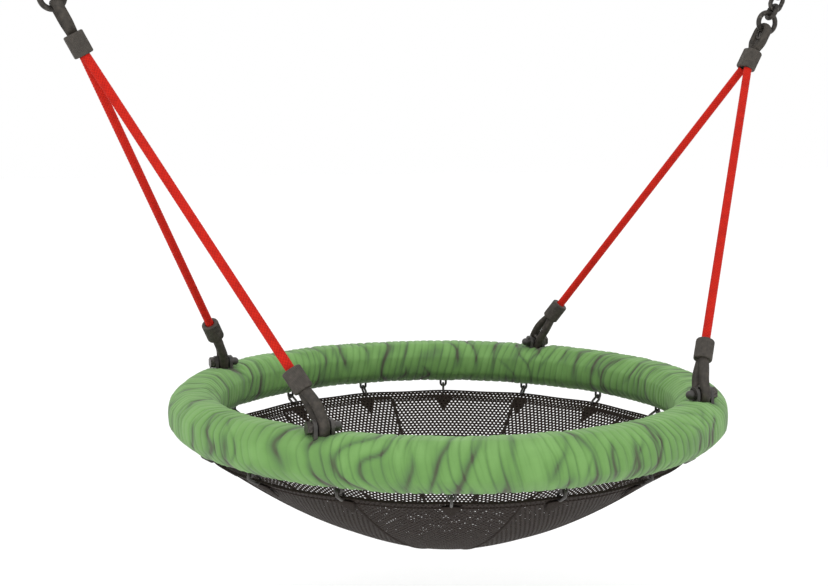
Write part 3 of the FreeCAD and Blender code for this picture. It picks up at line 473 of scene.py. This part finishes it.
def routeLine(controls):
    # the smooth line through a rope's control points
    curve = bpy.data.curves.new("ropeRoute", "CURVE")
    curve.dimensions = "3D"
    spline = curve.splines.new("NURBS")
    spline.points.add(len(controls) - 1)
    for point, spot in zip(spline.points, controls):
        point.co = (*spot, 1)
    spline.order_u = 3
    spline.use_endpoint_u = True
    spline.resolution_u = 24
    guide = link("ropeRoute", curve)
    mesh = evaluated(guide)
    line = np.array([v.co[:] for v in mesh.vertices])
    bpy.data.objects.remove(guide)
    return line


def makeRope(name, side, end):
    controls = [(side * x, end * y, z) for x, y, z in (rope["low"], rope["middle"], rope["high"])]
    line = routeLine(controls)
    steps = np.linalg.norm(np.diff(line, axis=0), axis=1)
    travel = np.concatenate(([0], np.cumsum(steps)))
    rings = int(travel[-1] / rope["diamond"] * rope["perDiamond"])
    along = np.linspace(0, travel[-1], rings)
    centre = np.stack([np.interp(along, travel, line[:, k]) for k in range(3)], axis=1)
    tangent = np.gradient(centre, axis=0)
    tangent /= np.linalg.norm(tangent, axis=1, keepdims=True)
    normal = np.cross(tangent, (0, 0, 1))
    normal /= np.linalg.norm(normal, axis=1, keepdims=True)
    binormal = np.cross(tangent, normal)
    angle = np.linspace(0, 2 * math.pi, rope["around"], endpoint=False)
    turns = rope["carriers"] * angle[None, :] / (2 * math.pi)
    climb = along[:, None] / rope["diamond"]
    left, right = turns + climb, turns - climb
    crossing = np.cos(math.pi * left) * np.cos(math.pi * right)
    overLeft = 0.65 * np.abs(np.cos(math.pi * left)) + 0.35 * crossing
    overRight = 0.65 * np.abs(np.cos(math.pi * right)) - 0.35 * crossing
    height = np.maximum(overLeft, overRight)
    radius = rope["diameter"] / 2 - rope["relief"] * (0.75 - height)
    points = centre[:, None, :] + radius[..., None] * (
        np.cos(angle)[None, :, None] * normal[:, None, :] + np.sin(angle)[None, :, None] * binormal[:, None, :])
    mesh = meshFrom(name, points.reshape(-1, 3), tubeFaces(rings, rope["around"], False))
    # braid height, kept for the painted shade in the grooves and the paler crowns
    grooveShade = mesh.attributes.new("grooveShade", "FLOAT", "POINT")
    grooveShade.data.foreach_set("value", np.clip(height, 0, 1).ravel())
    piece = link(name, mesh, ropeRed)
    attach(piece, "seat")
    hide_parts("rope_" + name.removeprefix("braid_"))


for corner, (side, end) in corners.items():
    makeRope("braid_" + corner, side, end)
print("ropes braided")

# ---- ferrules

ferrule = {
    "length": 0.040, "radius": 0.017, "topSpread": 0.004, "edge": 0.003,
    "ribs": 34, "ribDepth": 0.0010, "ribTwist": 0.45, "mouth": 0.0088, "mouthDepth": 0.0125, "around": 228,
}


def ferruleMesh(name, spread):
    # outline from the middle of the blind end, over the side, to the recessed mouth
    r, end, edge = ferrule["radius"], ferrule["length"] / 2, ferrule["edge"]
    outline = [(0.0, -end), (r - edge, -end)]
    turns = (0.4, 0.8, 1.2, math.pi / 2)
    outline += [(r - edge + edge * math.sin(a), -end + edge * (1 - math.cos(a))) for a in turns]
    outline += [(r, h) for h in np.linspace(-end + edge, end - edge, 16)[1:]]
    outline += [(r - edge + edge * math.cos(a), end - edge * (1 - math.sin(a))) for a in turns]
    rings = []
    around = np.linspace(0, 2 * math.pi, ferrule["around"], endpoint=False)
    outline += [(ferrule["mouth"] + 0.0012, end), (ferrule["mouth"], end - 0.001)]
    outline += [(ferrule["mouth"], end - ferrule["mouthDepth"]), (0.0, end - ferrule["mouthDepth"])]
    for radius, height in outline:
        ribs = 0.5 - 0.5 * np.cos(ferrule["ribs"] * (around + ferrule["ribTwist"] * height / ferrule["length"]))
        outer = 1 if abs(height) < end - edge * 0.4 and radius > r - edge else 0
        reach = np.full_like(around, radius) - outer * ferrule["ribDepth"] * (1 - ribs)
        shift = spread * np.sign(np.cos(around)) * (1 if radius > 0 else 0)
        across = reach * np.cos(around) + shift
        rings.append(np.stack([across, reach * np.sin(around), np.full_like(around, height)], 1))
    mesh = meshFrom(name, np.concatenate(rings), tubeFaces(len(rings), ferrule["around"], False)[:-2])
    return faceOutwards(mesh)


def placed(mesh, matrix):
    mesh.transform(matrix)
    return mesh


for corner, (side, end) in corners.items():
    line = ropeLine(side, end)
    spot = knee(side, end) + line * (hanging["neckReach"] + hanging["ferrule"] / 2)
    mesh = ferruleMesh("ferrule_" + corner, 0.0)
    piece = link("ferrule_" + corner, placed(mesh, frameAt(spot, line, xAxis)), ferruleNylon)
    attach(piece, "seat")
    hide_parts("lower_ferrule_" + corner)
for name, side in sides.items():
    line = chainLine(side)
    # the mouth faces down the chain line, and the sleeve is wider across the two ropes
    mesh = ferruleMesh("ferrule_top_" + name, ferrule["topSpread"])
    spot = mouthCentre(side) + line * (hanging["ferrule"] / 2)
    piece = link("ferrule_top_" + name, placed(mesh, frameAt(spot, -line, yAxis)), ferruleNylon)
    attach(piece, "seat")
    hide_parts("top_ferrule_" + name)
print("ferrules made")

# ---- strand eyes

eye = {
    "topCentre": 0.043, "lowCentre": 0.067, "loop": 0.0156, "neck": 0.0048, "strand": 0.0092,
    "inner": 0.0080, "flatness": 0.58, "lowFlatness": 0.80, "ridges": 15, "sunk": 0.006, "widest": 0.55,
    "legSteps": 16, "bendSteps": 24, "lowLoop": 0.0130, "bend": 0.010,
}


def eyeLoop(centre, loop):
    # half of a long loop as (across, up the loop), neck at zero, then its mirror image
    half = [(eye["neck"], -eye["sunk"])]
    for n in range(eye["legSteps"]):
        share = n / eye["legSteps"]
        swell = math.sin(math.pi / 2 * min(1, share / eye["widest"])) ** 1.3
        half.append((eye["neck"] + (loop - eye["neck"]) * swell, centre * share))
    crown = [(loop * math.cos(a), centre + loop * math.sin(a)) for a in np.linspace(0, math.pi, eye["bendSteps"])]
    return half + crown + [(-x, y) for x, y in reversed(half)]


def makeEye(name, node, matrix, line, flatness):
    # the bar's broad side lies along the local Z axis, which is the loop's own axis
    piece = grow(name, lineMesh(name, line), bars, eyeSheath,
                 Ridges=eye["ridges"], Outer=eye["strand"], Inner=eye["inner"], Flatness=flatness)
    faceOutwards(piece.data)
    piece.data.transform(matrix)
    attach(piece, "seat")
    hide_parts(node)


def standing(place, up, across):
    # a flat loop's own Y goes up and its own Z across the loop
    return frameAt(place, up, across) @ Matrix.Rotation(math.pi / 2, 4, "X")


def bentLoop(side, end):
    # the long loop stands round its bolt, then leans over towards the rope above the knee
    pull, line, bolt = pullLine(side, end), ropeLine(side, end), boltCentre(side, end)
    lean = line.x / line.dot(pull)
    points = []
    for across, along in eyeLoop(eye["lowCentre"], eye["lowLoop"]):
        up = eye["lowCentre"] - along
        over = up - hanging["knee"]
        soft = eye["bend"] * math.log1p(math.exp(over / eye["bend"]))
        points.append((across, up, soft * lean))
    turned = frameAt(bolt, pull, yAxis) @ Matrix.Rotation(math.pi / 2, 4, "X")
    # the loop's own axis can point either way along X, and the lean follows it
    sign = 1 if (turned.to_3x3() @ zAxis).x > 0 else -1
    return turned, [(x, y, sign * z) for x, y, z in points]


for corner, (side, end) in corners.items():
    matrix, line = bentLoop(side, end)
    makeEye("eye_" + corner, "lower_eye_" + corner, matrix, line, eye["lowFlatness"])
for name, side in sides.items():
    line = chainLine(side)
    loop = [(x, y, 0) for x, y in eyeLoop(eye["topCentre"], eye["loop"])]
    makeEye("eye_top_" + name, "top_eye_" + name,
            standing(mouthCentre(side) + line * hanging["ferrule"], line, yAxis), loop, eye["flatness"])
print("eyes made")

# ---- cover

cover = {
    "around": 1800, "section": 72, "halfWidth": 0.0505, "halfHeight": 0.0455, "squareness": 1.08,
    "lines": 178, "lineDepth": 0.0012, "lineWidth": 0.105,
    "streaks": 60, "streakDepth": 0.0012, "streakWidth": 0.080,
    "inset": 0.0008, "facets": 8, "facetShare": 0.4, "facetTurn": 0.35,
    "hairWidth": 0.12, "hairDepth": 0.0002, "pillow": 0.0006, "lumps": 0.0016,
    "crossLean": 0.9, "crossShift": 0.35, "crossWidth": 0.055,
    "shadowShift": 0.05, "shadowWidth": 0.19, "crossShadowWidth": 0.14,
    "pinchAlong": 0.021, "pinchAcross": 0.024, "pinchDepth": 0.0045, "spokes": 11, "spokeDepth": 0.0014,
}


def noiseGrid(cells, rows, u, v):
    # smooth value noise that repeats around both ways; u and v run from 0 to 1
    table = rng.random((cells, rows))
    x, y = (u % 1) * cells, (v % 1) * rows
    i, j = np.floor(x).astype(int), np.floor(y).astype(int)
    fx, fy = x - i, y - j
    fx, fy = fx * fx * (3 - 2 * fx), fy * fy * (3 - 2 * fy)
    i, j, k, m = i % cells, j % rows, (i + 1) % cells, (j + 1) % rows
    low = table[i, j] * (1 - fx) + table[k, j] * fx
    high = table[i, m] * (1 - fx) + table[k, m] * fx
    return low * (1 - fy) + high * fy


def crease(phase, width):
    # 1 on each whole number of the phase, falling to 0 within the width
    gap = np.abs(phase - np.round(phase)) / width
    return np.exp(-gap * gap)


def makeCover():
    u = np.linspace(0, 1, cover["around"], endpoint=False)[:, None]
    v = np.linspace(0, 1, cover["section"], endpoint=False)[None, :]
    u, v = np.broadcast_arrays(u, v)
    theta, phi = 2 * math.pi * v, 2 * math.pi * u
    drift = noiseGrid(16, 2, u, v)
    lines = cover["lines"] * u + 0.8 * np.sin(theta + 0.5) + 1.6 * drift + 0.5 * noiseGrid(72, 4, u, v)
    lineStrength = np.clip(noiseGrid(150, 4, u, v) * 1.3 + 0.05, 0, 1)
    fine = crease(lines, cover["lineWidth"]) * lineStrength
    hairs = crease(2 * lines + 0.8 * noiseGrid(90, 5, u, v), cover["hairWidth"])
    hairs = hairs * np.clip(noiseGrid(170, 4, u, v) * 1.5 - 0.6, 0, 1)
    sway = 1.0 * drift + 0.75 * noiseGrid(48, 5, u, v)
    lean = 0.34 * np.sin(theta + 2.2 * noiseGrid(12, 1, u, v))
    lean = lean + 0.20 * np.sin(2 * theta + 6 * noiseGrid(30, 2, u, v))
    firstPhase = cover["streaks"] * u + lean + sway
    otherPhase = cover["streaks"] * u - cover["crossLean"] * lean + sway + cover["crossShift"]
    firstStrength = np.clip(noiseGrid(64, 5, u, v) * 2.0 - 0.5, 0, 1)
    otherStrength = np.clip(noiseGrid(60, 5, u, v) * 2.0 - 0.8, 0, 1)
    streak = np.maximum(crease(firstPhase, cover["streakWidth"]) * firstStrength,
                        crease(otherPhase, cover["crossWidth"]) * otherStrength)
    shadow = np.maximum(crease(firstPhase + cover["shadowShift"], cover["shadowWidth"]) * firstStrength,
                        crease(otherPhase, cover["crossShadowWidth"]) * otherStrength)
    blot = np.clip(noiseGrid(96, 5, u, v) * 1.7 - 1.0, 0, 1)
    pillow = np.abs(np.sin(math.pi * lines)) * cover["pillow"]
    height = pillow - cover["inset"] - cover["lineDepth"] * fine - cover["hairDepth"] * hairs
    height = height - cover["streakDepth"] * (0.6 * streak + 0.6 * shadow)
    height = height + cover["lumps"] * (noiseGrid(70, 6, u, v) - 0.5)
    # the cover lies a little flatter between a few lines that run round the ring
    facet = math.pi / cover["facets"]
    flat = math.cos(facet) / np.cos((theta + cover["facetTurn"]) % (2 * facet) - facet) - 1
    height = height + cover["facetShare"] * cover["halfHeight"] * flat
    pull = np.zeros_like(u)
    for side, end in corners.values():
        centre = math.atan2(end * math.sin(math.radians(hanging["boltAngle"])),
                            side * math.cos(math.radians(hanging["boltAngle"])))
        along = ((phi - centre + math.pi) % (2 * math.pi) - math.pi) * hanging["ringRadius"]
        across = ((theta - math.pi / 2 + math.pi) % (2 * math.pi) - math.pi) * cover["halfHeight"]
        # the cloth is pinched in under each bracket, with folds that fan out from it
        away = np.hypot(along / cover["pinchAlong"], across / cover["pinchAcross"])
        spokes = 0.5 + 0.5 * np.cos(cover["spokes"] * np.arctan2(across, along) + 1.5 * end)
        pull = np.maximum(pull, np.exp(-np.clip(away - 0.85, 0, None) ** 2 / 0.35))
        height = height - cover["spokeDepth"] * spokes * np.exp(-((away - 1.6) / 0.7) ** 2)
    height = height - cover["pinchDepth"] * pull
    # painted shade in the fold lines, hair lines, streaks and their shadow bands and where the cloth is pinched under
    # the brackets; painted lighter towards the top of the tube and darker towards the bottom; the blotches and noise
    # are random tone
    tone = 0.75 - 0.32 * fine - 0.16 * hairs - 0.30 * streak - 0.33 * shadow - 0.24 * blot
    tone = tone + 0.20 * (noiseGrid(110, 9, u, v) - 0.5) + 0.10 * np.sin(theta) - 0.25 * pull
    power = 1 / cover["squareness"]
    wide = (cover["halfWidth"] + height) * np.sign(np.cos(theta)) * np.abs(np.cos(theta)) ** power
    tall = (cover["halfHeight"] + height) * np.sign(np.sin(theta)) * np.abs(np.sin(theta)) ** power
    reach = hanging["ringRadius"] + wide
    points = np.stack([reach * np.cos(phi), reach * np.sin(phi), tall + ringCentre.z], axis=2)
    faces = [face[::-1] for face in tubeFaces(cover["around"], cover["section"], True)]
    mesh = meshFrom("padded_cover", points.reshape(-1, 3), faces)
    # the tone goes to the material as painted shade and random tone
    shadeAndTone = mesh.attributes.new("shadeAndTone", "FLOAT", "POINT")
    shadeAndTone.data.foreach_set("value", np.clip(tone, 0, 1).ravel())
    piece = link("padded_cover", mesh, coverGreen)
    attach(piece, "seat")
    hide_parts("ring_cover", "foam_left", "foam_right", "foam_front", "foam_back")


makeCover()
print("cover gathered")

# ---- net basket

basket = {
    "rim": 0.457, "rimDrop": 0.065, "depth": 0.206, "power": 1.7, "gores": 10, "firstSeam": 10.5,
    "pitch": 0.0088, "hole": 0.475, "thread": 0.0008, "middle": 0.026, "facet": 0.18,
    "hem": 0.025, "hemHole": 0.42, "hemThread": 0.0012, "ties": 16, "sag": 0.0018, "layer": 0.003,
    "seamWidth": 0.006, "seamThick": 0.0020,
}
bowlRadii = np.linspace(0, basket["rim"], 400)
bowlDrops = -basket["rimDrop"] - basket["depth"] * (1 - (bowlRadii / basket["rim"]) ** basket["power"])
bowlTravel = np.concatenate(([0], np.cumsum(np.hypot(np.diff(bowlRadii), np.diff(bowlDrops)))))
rimTravel = bowlTravel[-1]
hemTravel = rimTravel - basket["hem"]


def bowlPoints(travel, angle, depth=0.0):
    # points of the basket: distance up from its centre, angle, and depth square under the upper face
    radius = np.interp(travel, bowlTravel, bowlRadii)
    drop = np.interp(travel, bowlTravel, bowlDrops)
    slope = basket["depth"] * basket["power"] / basket["rim"] * (radius / basket["rim"]) ** (basket["power"] - 1)
    square = np.hypot(1, slope)
    gore = 2 * math.pi / basket["gores"]
    offset = (angle - math.radians(basket["firstSeam"])) % gore - gore / 2
    flat = basket["facet"] * (1 - np.clip(radius / basket["rim"], 0, 1) ** 6)
    radius = radius * (1 - flat + flat * math.cos(gore / 2) / np.cos(offset))
    sag = np.sin(basket["ties"] / 2 * angle) ** 2 * np.clip(travel / rimTravel, 0, 1.02) ** 10 * basket["sag"]
    radius = radius + depth * slope / square - sag * 0.4
    drop = drop - depth / square - sag
    return np.stack([radius * np.cos(angle), radius * np.sin(angle), drop + ringCentre.z], axis=-1)


def solidSheet(mesh, name, thickness, material):
    # gives a one-layer sheet its thickness, with the wall on its underside
    bm = bmesh.new()
    bm.from_mesh(mesh)
    bmesh.ops.remove_doubles(bm, verts=bm.verts, dist=1e-6)
    bmesh.ops.recalc_face_normals(bm, faces=bm.faces)
    if sum(face.normal.z for face in bm.faces) < 0:
        bmesh.ops.reverse_faces(bm, faces=bm.faces)
    bm.to_mesh(mesh)
    bm.free()
    piece = link(name, mesh, material)
    wall = piece.modifiers.new("thickness", "SOLIDIFY")
    wall.thickness = thickness
    wall.offset = -1
    settle(piece)
    piece.data.shade_flat()
    return piece


def lattice(rows, columns, wrap):
    # two triangles for each step of a lattice whose odd rows are moved half a step
    faces = []
    last = columns if wrap else columns - 1
    for i in range(rows - 1):
        for j in range(last):
            k = (j + 1) % columns
            a, b, c, d = i * columns + j, i * columns + k, (i + 1) * columns + j, (i + 1) * columns + k
            faces += [(a, b, d), (a, d, c)] if i % 2 else [(a, b, c), (b, d, c)]
    return faces


def makeGore(number):
    pitch = basket["pitch"]
    rowStep = pitch * math.sqrt(3) / 2
    half = math.pi / basket["gores"]
    middle = math.radians(basket["firstSeam"]) + (2 * number + 1) * half
    travel = np.arange(basket["middle"], hemTravel + 2 * rowStep, rowStep)
    radius = np.interp(travel, bowlTravel, bowlRadii)
    widest = int(radius[-1] * half / pitch) + 3
    columns = 2 * widest + 1
    x = (np.arange(columns) - widest)[None, :] * pitch + (np.arange(len(travel)) % 2)[:, None] * pitch / 2
    keepWithin = (radius * half + 1.6 * pitch)[:, None] * np.ones_like(x)
    faces = np.array(lattice(len(travel), columns, False))
    inside = (np.abs(x) < keepWithin).ravel()
    faces = faces[inside[faces].all(axis=1)]
    angle = middle + x / radius[:, None]
    # the wanted gore's own facet is carried on past its seams
    held = np.clip(angle, middle - half + 1e-4, middle + half - 1e-4)
    points = bowlPoints(np.broadcast_to(travel[:, None], x.shape), held)
    over = (angle - held)[..., None] * radius[:, None, None] * np.stack(
        [-np.sin(held), np.cos(held), np.zeros_like(held)], axis=-1)
    points = (points + over).reshape(-1, 3)
    used = np.unique(faces)
    index = np.full(len(points), -1)
    index[used] = np.arange(len(used))
    mesh = meshFrom("goreLattice", points[used], index[faces].tolist())
    name = "net_gore_%d" % (number + 1)
    piece = grow(name, mesh, piercing, netBlack, Hole=basket["hole"])
    bm = bmesh.new()
    bm.from_mesh(piece.data)
    for sign in (1, -1):
        edge = middle + sign * half
        outward = Vector((-math.sin(edge), math.cos(edge), 0)) * sign
        bmesh.ops.bisect_plane(bm, geom=bm.verts[:] + bm.edges[:] + bm.faces[:], plane_co=ringCentre,
                               plane_no=outward, clear_outer=True)
    bm.to_mesh(piece.data)
    bm.free()
    mesh = piece.data
    bpy.data.objects.remove(piece)
    piece = solidSheet(mesh, name, basket["thread"], netBlack)
    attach(piece, "seat")
    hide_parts("basket_net")
    return piece


def bandMesh(name, travels, depths, angles):
    # a closed band round the basket through section corners given by travel and depth
    rings = [bowlPoints(t, angles, d) for t, d in zip(travels, depths)]
    count, corners = len(angles), len(rings)
    points = np.stack(rings, axis=1).reshape(-1, 3)
    return faceOutwards(meshFrom(name, points, tubeFaces(count, corners, True)))


def circleSection(travel, depth, radius, count=10):
    spin = np.linspace(0, 2 * math.pi, count, endpoint=False)
    return travel + radius * np.cos(spin), depth + radius * np.sin(spin)


def makeHem():
    pitch = basket["pitch"]
    columns = round(2 * math.pi * basket["rim"] / pitch)
    rowStep = pitch * math.sqrt(3) / 2
    rows = int(basket["hem"] / rowStep) + 2
    travel = rimTravel + 0.6 * rowStep - rowStep * np.arange(rows)[::-1]
    angle = 2 * math.pi * (np.arange(columns)[None, :] + 0.5 * (np.arange(rows) % 2)[:, None]) / columns
    points = bowlPoints(np.broadcast_to(travel[:, None], angle.shape), angle)
    mesh = meshFrom("hemLattice", points.reshape(-1, 3), lattice(rows, columns, True))
    piece = grow("net_hem", mesh, piercing, netBlack, Hole=basket["hemHole"])
    mesh = piece.data
    bpy.data.objects.remove(piece)
    hem = solidSheet(mesh, "net_hem", basket["hemThread"], netBlack)
    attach(hem, "seat")
    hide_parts("basket_hem")
    angles = np.linspace(0, 2 * math.pi, 960, endpoint=False)
    beads = [bandMesh("bead", *circleSection(rimTravel, 0.0012, 0.0022), angles),
             bandMesh("bead", *circleSection(hemTravel, 0.0010, 0.0009), angles)]
    edge = join("hem_edges", beads, tapeBlack)
    rows = []
    for travelled in (rimTravel - 0.0055, hemTravel + 0.0045):
        for depth in (-0.0002, basket["hemThread"] + 0.0002):
            line = bowlPoints(np.full(1440, travelled), np.linspace(0, 2 * math.pi, 1440, endpoint=False), depth)
            piece = grow("hemStitches", lineMesh("hemLine", line, True), stitches, tapeBlack, Spacing=0.0055)
            rows.append(piece.data)
            bpy.data.objects.remove(piece)
    thread = join("hem_stitches", rows, tapeBlack)
    for piece in (edge, thread):
        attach(piece, "seat")


def makeSeams():
    meshes = []
    for number in range(basket["gores"]):
        angle = math.radians(basket["firstSeam"]) + 2 * math.pi * number / basket["gores"]
        travel = np.linspace(basket["middle"] - 0.008, hemTravel + 0.004, 70)
        radius = np.interp(travel, bowlTravel, bowlRadii)
        half, thick = basket["seamWidth"] / 2, basket["seamThick"]
        section = [(-half, -0.0006), (-half * 0.55, -0.0012), (0, -0.0006), (half * 0.55, -0.0012), (half, -0.0006),
                   (half, thick - 0.0006), (0, thick), (-half, thick - 0.0006)]
        rings = [bowlPoints(travel, angle + x / radius, depth) for x, depth in section]
        points = np.stack(rings, axis=1).reshape(-1, 3)
        mesh = meshFrom("seam", points, tubeFaces(len(travel), len(section), False))
        meshes.append(faceOutwards(mesh))
    disc = []
    for radius, depth in ((0.0, -0.0012), (0.020, -0.0012), (0.034, -0.0008), (0.037, 0.0), (0.037, 0.0026),
                          (0.034, 0.0034), (0.020, 0.0038), (0.0, 0.0038)):
        disc.append(bowlPoints(np.full(48, radius), np.linspace(0, 2 * math.pi, 48, endpoint=False), depth))
    mesh = meshFrom("disc", np.concatenate(disc), tubeFaces(len(disc), 48, False)[:-2])
    meshes.append(faceOutwards(mesh))
    seams = join("net_seams", meshes, tapeBlack)
    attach(seams, "seat")


patch = {"width": 0.034, "length": 0.046, "start": 0.012, "thick": 0.002, "gap": 0.0004}


def makePatches():
    meshes = []
    outline = np.array([
        (-1, 0.0), (-0.5, 0.06), (0, 0.08), (0.5, 0.06), (1, 0.0), (0.97, -0.16), (0.74, -0.42), (0.44, -0.74),
        (0.14, -0.98), (0, -1.0), (-0.14, -0.98), (-0.44, -0.74), (-0.74, -0.42), (-0.97, -0.16)])
    top, thick = basket["layer"] + patch["gap"], patch["thick"]
    for number in range(basket["ties"]):
        angle = 2 * math.pi * number / basket["ties"]
        layers = []
        for shrink, depth in ((0.0, top), (0.93, top), (1.0, top + 0.0005), (1.0, top + thick - 0.0005),
                              (0.93, top + thick), (0.55, top + thick + 0.0003), (0.0, top + thick)):
            x = outline[:, 0] * shrink * patch["width"] / 2
            y = (outline[:, 1] + 0.4) * shrink - 0.4
            travel = rimTravel - patch["start"] + y * patch["length"]
            layers.append(bowlPoints(travel, angle + x / basket["rim"], depth))
        mesh = meshFrom("patch", np.concatenate(layers), tubeFaces(len(layers), len(outline), False)[:-2])
        meshes.append(faceOutwards(mesh))
    piece = join("tie_patches_sewn", meshes, tapeBlack)
    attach(piece, "seat")
    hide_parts("tie_patches")


for number in range(basket["gores"]):
    makeGore(number)
makeHem()
makeSeams()
makePatches()
print("basket sewn")

# ---- carried-over parts

finishes = {
    "hanger_bracket": coatedPlate, "hanger_bolts": fastenerZinc, "hanger_washers": fastenerZinc,
    "hanger_cap_nuts": coatedPlate, "hanger_bushes": bushNylon, "lower_thimbles": fastenerZinc,
    "top_thimbles": fastenerZinc, "ring_tube": coatedPlate, "ring_staples": coatedPlate, "tie_loops": coatedPlate,
    "left_": darkChain, "right_": darkChain, "foam": foamGrey,
}
for name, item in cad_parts.items():
    for start, finish in finishes.items():
        if name.startswith(start):
            for spot in item.material_slots:
                spot.material = finish
print("parts finished")

# ---- floor and light

studio = {"floor": -1.42, "paper": "#FBFBFB", "glow": 0.10, "sky": 1.0, "key": 30, "keySize": 2.5}


def makeFloor():
    size = 30
    mesh = meshFrom("floor", [(-size, -size, studio["floor"]), (size, -size, studio["floor"]),
                              (size, size, studio["floor"]), (-size, size, studio["floor"])], [(0, 1, 2, 3)])
    paper = newMaterial("matPaper", studio["paper"], 0.9,
                        Emission_Color=(1, 1, 1, 1), Emission_Strength=studio["glow"])[0]
    link("floor", mesh, paper)


def addLight(name, spot, target, size, power):
    data = bpy.data.lights.new(name, "AREA")
    data.energy = power
    data.size = size
    lamp = bpy.data.objects.new(name, data)
    scene.collection.objects.link(lamp)
    lamp.location = spot
    lamp.rotation_euler = (Vector(target) - Vector(spot)).to_track_quat("-Z", "Y").to_euler()


def makeLight():
    world = bpy.data.worlds.new("studio")
    scene.world = world
    world.use_nodes = True
    sky = world.node_tree.nodes["Background"]
    sky.inputs["Color"].default_value = linear("#FFFFFF")
    sky.inputs["Strength"].default_value = studio["sky"]
    addLight("key", (-1.6, -2.4, 2.4), (0, 0, -0.8), studio["keySize"], studio["key"])


makeFloor()
makeLight()
print("studio lit")
